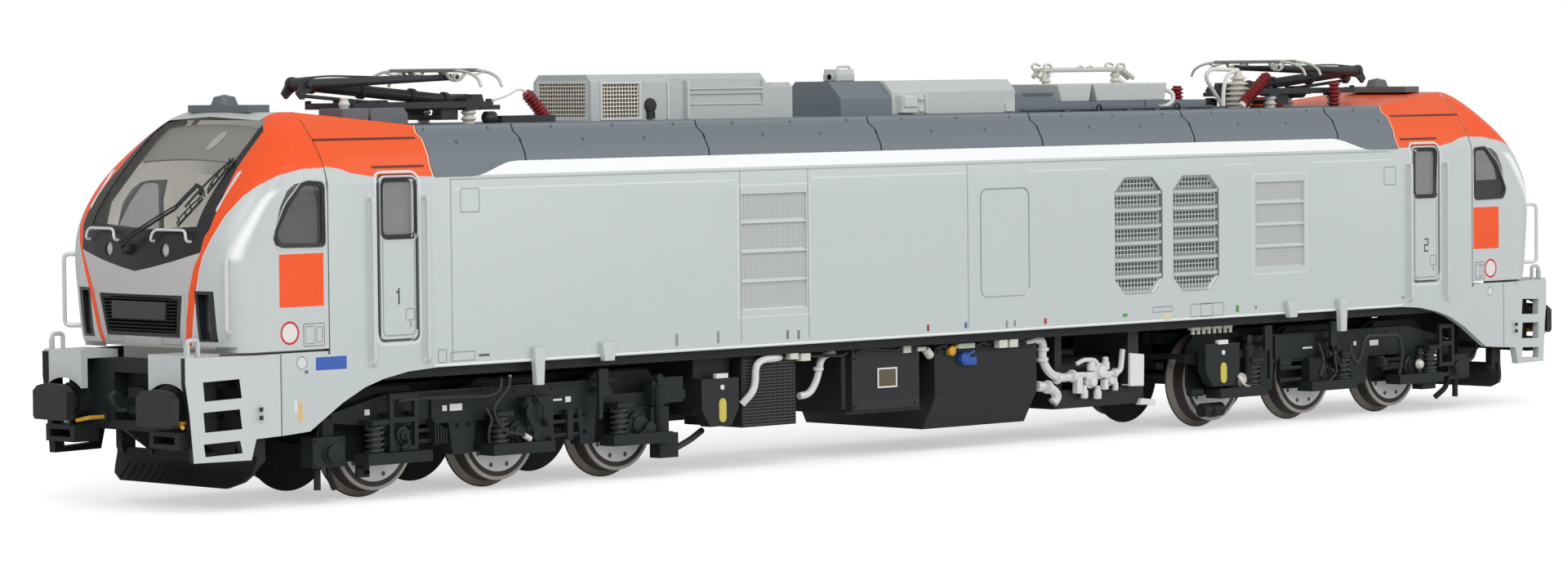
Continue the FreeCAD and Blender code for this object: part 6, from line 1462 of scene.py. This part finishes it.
def under_floor():
    """White pipes with their flanges, valves, gauge glasses, connectors and the mesh box between the bogies."""
    y = -13.4
    pipes = several(
        wire,
        ([(-31.9, -13.6, 14.5), (-34.0, -15.0, 14.5), (-36.6, -15.0, 14.45), (-37.8, -15.0, 13.7),
          (-37.85, -15.0, 11.2), (-38.6, -15.0, 10.0), (-39.6, -14.2, 8.7)], 0.48, 1.3),
        ([(-22.0, y, 14.6), (-24.3, y, 14.2), (-24.9, y, 11.4), (-26.4, y, 9.3), (-28.4, y, 9.15)], 0.48, 1.3),
        ([(14.9, y, 14.2), (17.9, y, 14.8), (18.8, y, 13.9), (18.4, y, 11.9), (20.0, y, 9.7), (22.5, y, 8.95),
          (25.4, y + 0.3, 9.2)], 0.62, 1.6),
        ([(17.9, -12.9, 8.1), (20.9, -12.9, 7.7), (22.2, -12.9, 6.5), (21.4, -12.7, 5.6)], 0.72, 1.0),
        ([(25.2, -13.2, 9.3), (27.5, -13.2, 9.2), (31.0, -13.2, 9.0), (34.8, -13.2, 9.3), (35.5, -13.0, 12.4)],
         0.42, 0.9),
        ([(25.6, -13.3, 10.8), (26.8, -13.6, 11.4), (29.4, -13.6, 11.2), (30.2, -13.4, 9.6)], 0.32, 0.8))
    flanges = []
    for x, z, axis, r in ((-24.8, 12.6, UP, 0.7), (18.7, 13.2, UP, 0.86), (18.6, 11.8, (-0.1, 0, 1), 0.86),
                          (21.6, 9.05, (1, 0, -0.3), 0.86), (24.6, 9.2, ALONG, 0.9), (19.6, 7.9, (1, 0, -0.2), 0.95),
                          (33.4, 9.2, ALONG, 0.66)):
        flanges.append(turned([(-0.28, 0.8 * r), (-0.2, r), (0.2, r), (0.28, 0.8 * r)], (x, y, z), axis, 16))
    cluster = []
    for x, z, r, axis in ((26.0, 8.0, 0.62, UP), (28.4, 8.2, 0.95, NEAR), (30.2, 9.6, 1.15, NEAR),
                          (32.2, 8.2, 0.8, NEAR), (27.2, 6.8, 0.55, UP), (29.9, 6.6, 0.6, UP), (31.6, 10.6, 0.6, UP),
                          (28.6, 10.6, 0.62, UP), (33.6, 7.6, 0.45, UP)):
        cluster.append(turned([(-0.9, 0.7 * r), (-0.8, r), (0.2, r), (0.3, 0.75 * r), (0.9, 0.7 * r), (1.0, 0.3 * r)],
                              (x, -13.3, z), axis, 14))
    cluster += several(block, (25.2, 26.3, -13.9, -12.9, 6.7, 9.0), (27.4, 31.8, -13.7, -12.7, 8.6, 9.6),
                       (30.6, 31.4, -14.1, -13.2, 7.0, 8.4))
    box_white = [prism([(36.0, 7.2), (38.9, 7.1), (39.0, 11.6), (36.1, 11.9)], 1, -14.0, -12.2),
                 prism([(38.9, 4.4), (42.2, 4.2), (42.2, 5.0), (39.4, 5.3)], 1, -13.2, -12.2)]
    joints = several(block, (-31.7, -30.2, -15.3, -14.2, 14.2, 15.1), (-29.7, -28.0, -15.3, -14.2, 13.9, 14.9),
                     (8.1, 9.7, -15.3, -14.2, 13.9, 15.0), (10.2, 11.8, -15.3, -14.2, 13.9, 15.0),
                     (-9.5, -8.1, -14.3, -13.6, 14.0, 15.05), (1.1, 4.3, -14.3, -13.6, 14.1, 14.8),
                     (-6.8, -5.2, -14.3, -13.6, 14.1, 14.7))
    joints.append(turned([(-0.7, 0.6), (0.6, 0.62), (0.9, 0.3)], (-4.6, -14.0, 13.8), (0.7, 0, -0.7), 12))
    rows = [block(x, x + 1.9, -14.2, -13.4, 14.55, 15.1) for x in (48.9, 51.2, 53.5, 55.8)]
    rows += [turned([(-0.4, 0.3), (0.4, 0.3)], (x, -13.9, 14.3), UP, 8) for x in np.arange(49.4, 58.0, 1.15)]
    wires = []
    for x0, x1, z in ((-33.5, -20.0, 14.35), (-18.5, -9.7, 14.6), (-3.2, 0.0, 14.4), (4.6, 8.0, 14.5),
                      (12.0, 15.2, 14.7)):
        wires.append(wire([(x0, -14.1, z), (x0 + 1.5, -14.3, z + 0.35), (x1 - 1.2, -14.3, z - 0.15),
                           (x1, -14.0, z + 0.2)], 0.22, 0.8))
    build("air_pipes", two_sided(pipes + flanges), pipe_white, "pipework", replaces=("pipework",))
    build("valve_cluster", two_sided(cluster), pipe_white, "pipework", bevel=0.06)
    build("white_cabinet", two_sided(box_white), label_white, "pipework", bevel=0.1)
    build("connectors", two_sided(joints + rows), pale_green, "pipework", bevel=0.06)
    build("floor_wires", two_sided(wires), hose_black, "pipework")
    yellow = [turned([(-0.5, 0.62), (0.4, 0.65), (0.6, 0.3)], (-0.5, -14.3, 13.9), NEAR, 12),
              tube([(-0.5, -14.5, 13.9), (0.3, -14.9, 14.6)], 0.18, 6)]
    blue = [turned([(-0.6, 0.85), (0.4, 0.9), (0.7, 0.5)], (2.1, -14.3, 12.7), NEAR, 14),
            block(2.3, 4.2, -14.7, -13.8, 11.8, 12.9), tube([(2.1, -14.8, 13.2), (3.4, -15.0, 13.7)], 0.2, 6)]
    build("yellow_valve", two_sided(yellow), handle_yellow, "pipework")
    build("blue_valve", two_sided(blue), valve_blue, "pipework", bevel=0.05)
    glass, spots = gauge(-43.1, -14.2, 6.5, 9.7)
    build("tank_gauge_glass", two_sided(glass), gauge_yellow, "under_floor_boxes")
    build("tank_gauge_marks", two_sided(spots), label_white, "under_floor_boxes")
    mesh = lattice((-39.4, -14.08, 5.9), ALONG, UP, 9.3, 8.4, 0.42, 0.15, 0.1)
    build("mesh_box_grid", two_sided(mesh), mesh_black, "under_floor_boxes")
    frame_bar = [window_frame((-39.7, -14.0, 5.6), ALONG, UP, 9.9, 9.2, 0.5, 0.25)]
    build("mesh_box_frame", two_sided(frame_bar), floor_black, "under_floor_boxes", bevel=0.05)
    plate_edge = [window_frame((-14.4, -14.05, 9.5), ALONG, UP, 3.7, 2.7, 0.22, 0.1)]
    build("box_plate", two_sided(plate_edge), label_white, "under_floor_boxes")
    build("box_plate_face", two_sided([block(-14.1, -11.0, -14.08, -14.0, 9.8, 11.9)]), plate_bronze,
          "under_floor_boxes")
    lids = several(block, (-20.6, -6.2, -14.25, -14.0, 6.2, 6.6), (-21.4, -20.6, -14.3, -13.9, 7.0, 14.0),
                   (-2.9, 16.2, -14.1, -13.85, 13.6, 14.1))
    lids += [turned([(0, 0.2), (0.12, 0.18), (0.16, 0.05)], (x, -14.0, z), NEAR, 6)
             for x in (-18.6, -7.2) for z in (7.2, 13.6)]
    build("box_lids", two_sided(lids), floor_black, "under_floor_boxes", bevel=0.06)


# ---- the finishes, the CAD nodes that stay, and the fine parts ----


bpy.context.scene.view_settings.view_transform = "Standard"
place_camera()
studio()

walls, cab, roof = wall_paint(), cab_paint(), roof_paint()
running = plain("bogie_black", (31, 36, 38), rough=0.55, mottle=0.14, specular=0.3)
floor_black = plain("floor_black", (28, 30, 32), rough=0.55, mottle=0.08, specular=0.3)
steel_black = plain("black_plastic", (40, 40, 39), rough=0.5, mottle=0.06, specular=0.35)
skirt_grey = plain("skirt_paint", (198, 203, 203), rough=0.4, mottle=0.02)
tank_black = tank_paint()
cowl_grey = plain("cowl_paint", (182, 187, 187), rough=0.42, mottle=0.03)
box_grey = roof_box_paint()
bright = plain("bright_wire", (212, 214, 214), rough=0.35, metal=0.15, mottle=0.03)
silver = plain("silver_metal", (212, 209, 200), rough=0.3, metal=0.35, mottle=0.05)
porcelain = plain("porcelain", (214, 211, 202), rough=0.3, mottle=0.03)
rubber_black = plain("window_rubber", (26, 26, 28), rough=0.45, mottle=0.04)
dark_red = plain("arrester_red", (128, 30, 34), rough=0.34, mottle=0.06)
panto_black = plain("pantograph_black", (48, 51, 55), rough=0.45, mottle=0.07, specular=0.35)
strip_grey = plain("strip_carbon", (120, 120, 118), rough=0.5, mottle=0.1)
dark_steel = plain("dark_steel", (70, 73, 76), rough=0.4, metal=0.4, mottle=0.1)
spring_black = plain("spring_black", (52, 56, 58), rough=0.42, mottle=0.08, specular=0.4)
hose_black = plain("hose_rubber", (40, 42, 44), rough=0.45, mottle=0.08, specular=0.4)
wiper_black = plain("wiper_black", (28, 28, 30), rough=0.5, mottle=0.05)
mask_black = plain("mask_black", (40, 38, 38), rough=0.35, mottle=0.04)
panel_grey = plain("panel_grey", (52, 52, 54), rough=0.45, mottle=0.05)
trim_grey = plain("frame_lines", (150, 152, 152), rough=0.5)
light_trim = plain("roof_light_trim", (205, 208, 206), rough=0.4, mottle=0.04)
slate_trim = plain("slate_trim", (84, 91, 98), rough=0.5, mottle=0.06)
pale_mesh = plain("mesh_pale", (222, 216, 204), rough=0.45, mottle=0.06)
mesh_black = plain("mesh_black", (62, 63, 62), rough=0.5, mottle=0.1)
# near-black and dull: painted shade for holes and for the depth behind meshes
shade_black = plain("shade_black", (16, 15, 14), rough=0.8, mottle=0.1, specular=0.2)
# pale lining that glows faintly: painted light standing for the light that comes in through the panes
glowing_lining = plain("cab_lining", (246, 244, 238), rough=0.7, mottle=0.03, Emission_Strength=0.08,
                  Emission_Color=(0.9, 0.88, 0.84, 1.0))
lining_grey = plain("headlining", (132, 128, 122), rough=0.6, mottle=0.03)
cab_light_white = plain("cab_light_white", (176, 174, 168), rough=0.5, mottle=0.03)
white_cable = plain("white_cable", (222, 221, 214), rough=0.4, mottle=0.03)
pipe_white = plain("pipe_white", (220, 222, 222), rough=0.4, mottle=0.05)
label_white = plain("label_white", (226, 227, 226), rough=0.5, mottle=0.05)
pale_green = plain("connector_pale", (206, 212, 198), rough=0.45, mottle=0.08)
handle_yellow = plain("handle_yellow", (216, 164, 42), rough=0.4)
gauge_yellow = plain("gauge_yellow", (206, 192, 84), rough=0.2, mottle=0.1)
valve_blue = plain("valve_blue", (40, 84, 172), rough=0.35)
orange_red = plain("orange_box", (236, 92, 44), rough=0.42)
plate_bronze = plain("plate_bronze", (92, 84, 58), rough=0.5, mottle=0.3, grain=2.4)
silver_lens = plain("headlight_silver", (244, 245, 247), rough=0.16, metal=0.85, mottle=0.08, grain=3.0)
pane = glass("cab_glass", (196, 198, 194), 0.1)
dark_pane, inner_cab = window_tint(), cab_shell_inside()
plough_black = plain("plough_black", (36, 37, 33), rough=0.5, mottle=0.08, specular=0.3)
wheel = wheel_steel()
antenna_grey = plain("antenna_grey", (96, 100, 104), rough=0.45)

for end in ("1", "2"):
    merged_copy("cab_shell_" + end, cab, SKIN_ANGLE, hub=cab_middle(end), lining=inner_cab)
    merged_copy("front_skirt_" + end, skirt_grey, bevel=0.12, hub=towards_middle, lining=floor_black)
    merged_copy("bogie_frame_" + end, running, bevel=0.1)
    dress(running, "bogie_gear_" + end)
    merged_copy("buffer_beam_" + end, running, bevel=0.1)
    merged_copy("snow_plough_" + end, plough_black, bevel=0.1, reshape=plough_corners)
    dress(glowing_lining, "cab_interior_" + end)
    merged_copy("pantograph_base_" + end, panto_black, bevel=0.08)
    for piece in ("lower_arm", "rod"):
        merged_copy("pantograph_%s_%s" % (piece, end), panto_black)
for number in range(1, 7):
    merged_copy("wheelset_%d" % number, wheel)
merged_copy("body_shell", walls, SKIN_ANGLE, hub=wall_middle, lining=glowing_lining)
merged_copy("roof_panels", roof, SKIN_ANGLE)
merged_copy("roof_fairings", roof, SKIN_ANGLE)
merged_copy("buffers", steel_black, bevel=0.15)
merged_copy("cooling_cowls", cowl_grey, SKIN_ANGLE, bevel=0.15)
merged_copy("roof_cabinets", box_grey, SKIN_ANGLE, bevel=0.15)
merged_copy("antennas", antenna_grey, bevel=0.1)
merged_copy("under_floor_boxes", tank_black, bevel=0.15)
merged_copy("jacking_brackets", skirt_grey, bevel=0.1)
merged_copy("couplings", running, bevel=0.08)
dress(floor_black, "underframe", "motor_block")
dress(handle_yellow, "shunter_handles")
dress(lamp_lens(), "lamps")
dress(pane, "windscreens")
dress(dark_pane, "side_windows")

nose, windscreen = surface_of("cab_shell_1", "windscreens"), surface_of("windscreens")
handrails()
wipers()
nose_details()
cab_lining()
fenders()
window_gaskets()
both_ends("plough_ribs", plough_ribs(), plough_black, "snow_plough")
# dark plates over the wheels' upper halves: painted shade
both_ends("wheel_shade_plates", wheel_shade_plates(), running, "bogie_frame", BOGIES, bevel=0.05)
both_ends("floor_ducts", floor_ducts(), floor_black, "underframe", bevel=0.08)
cowl_details()
cabinet_details()
high_voltage_gear()
pantograph_details()
bogies()
under_floor()
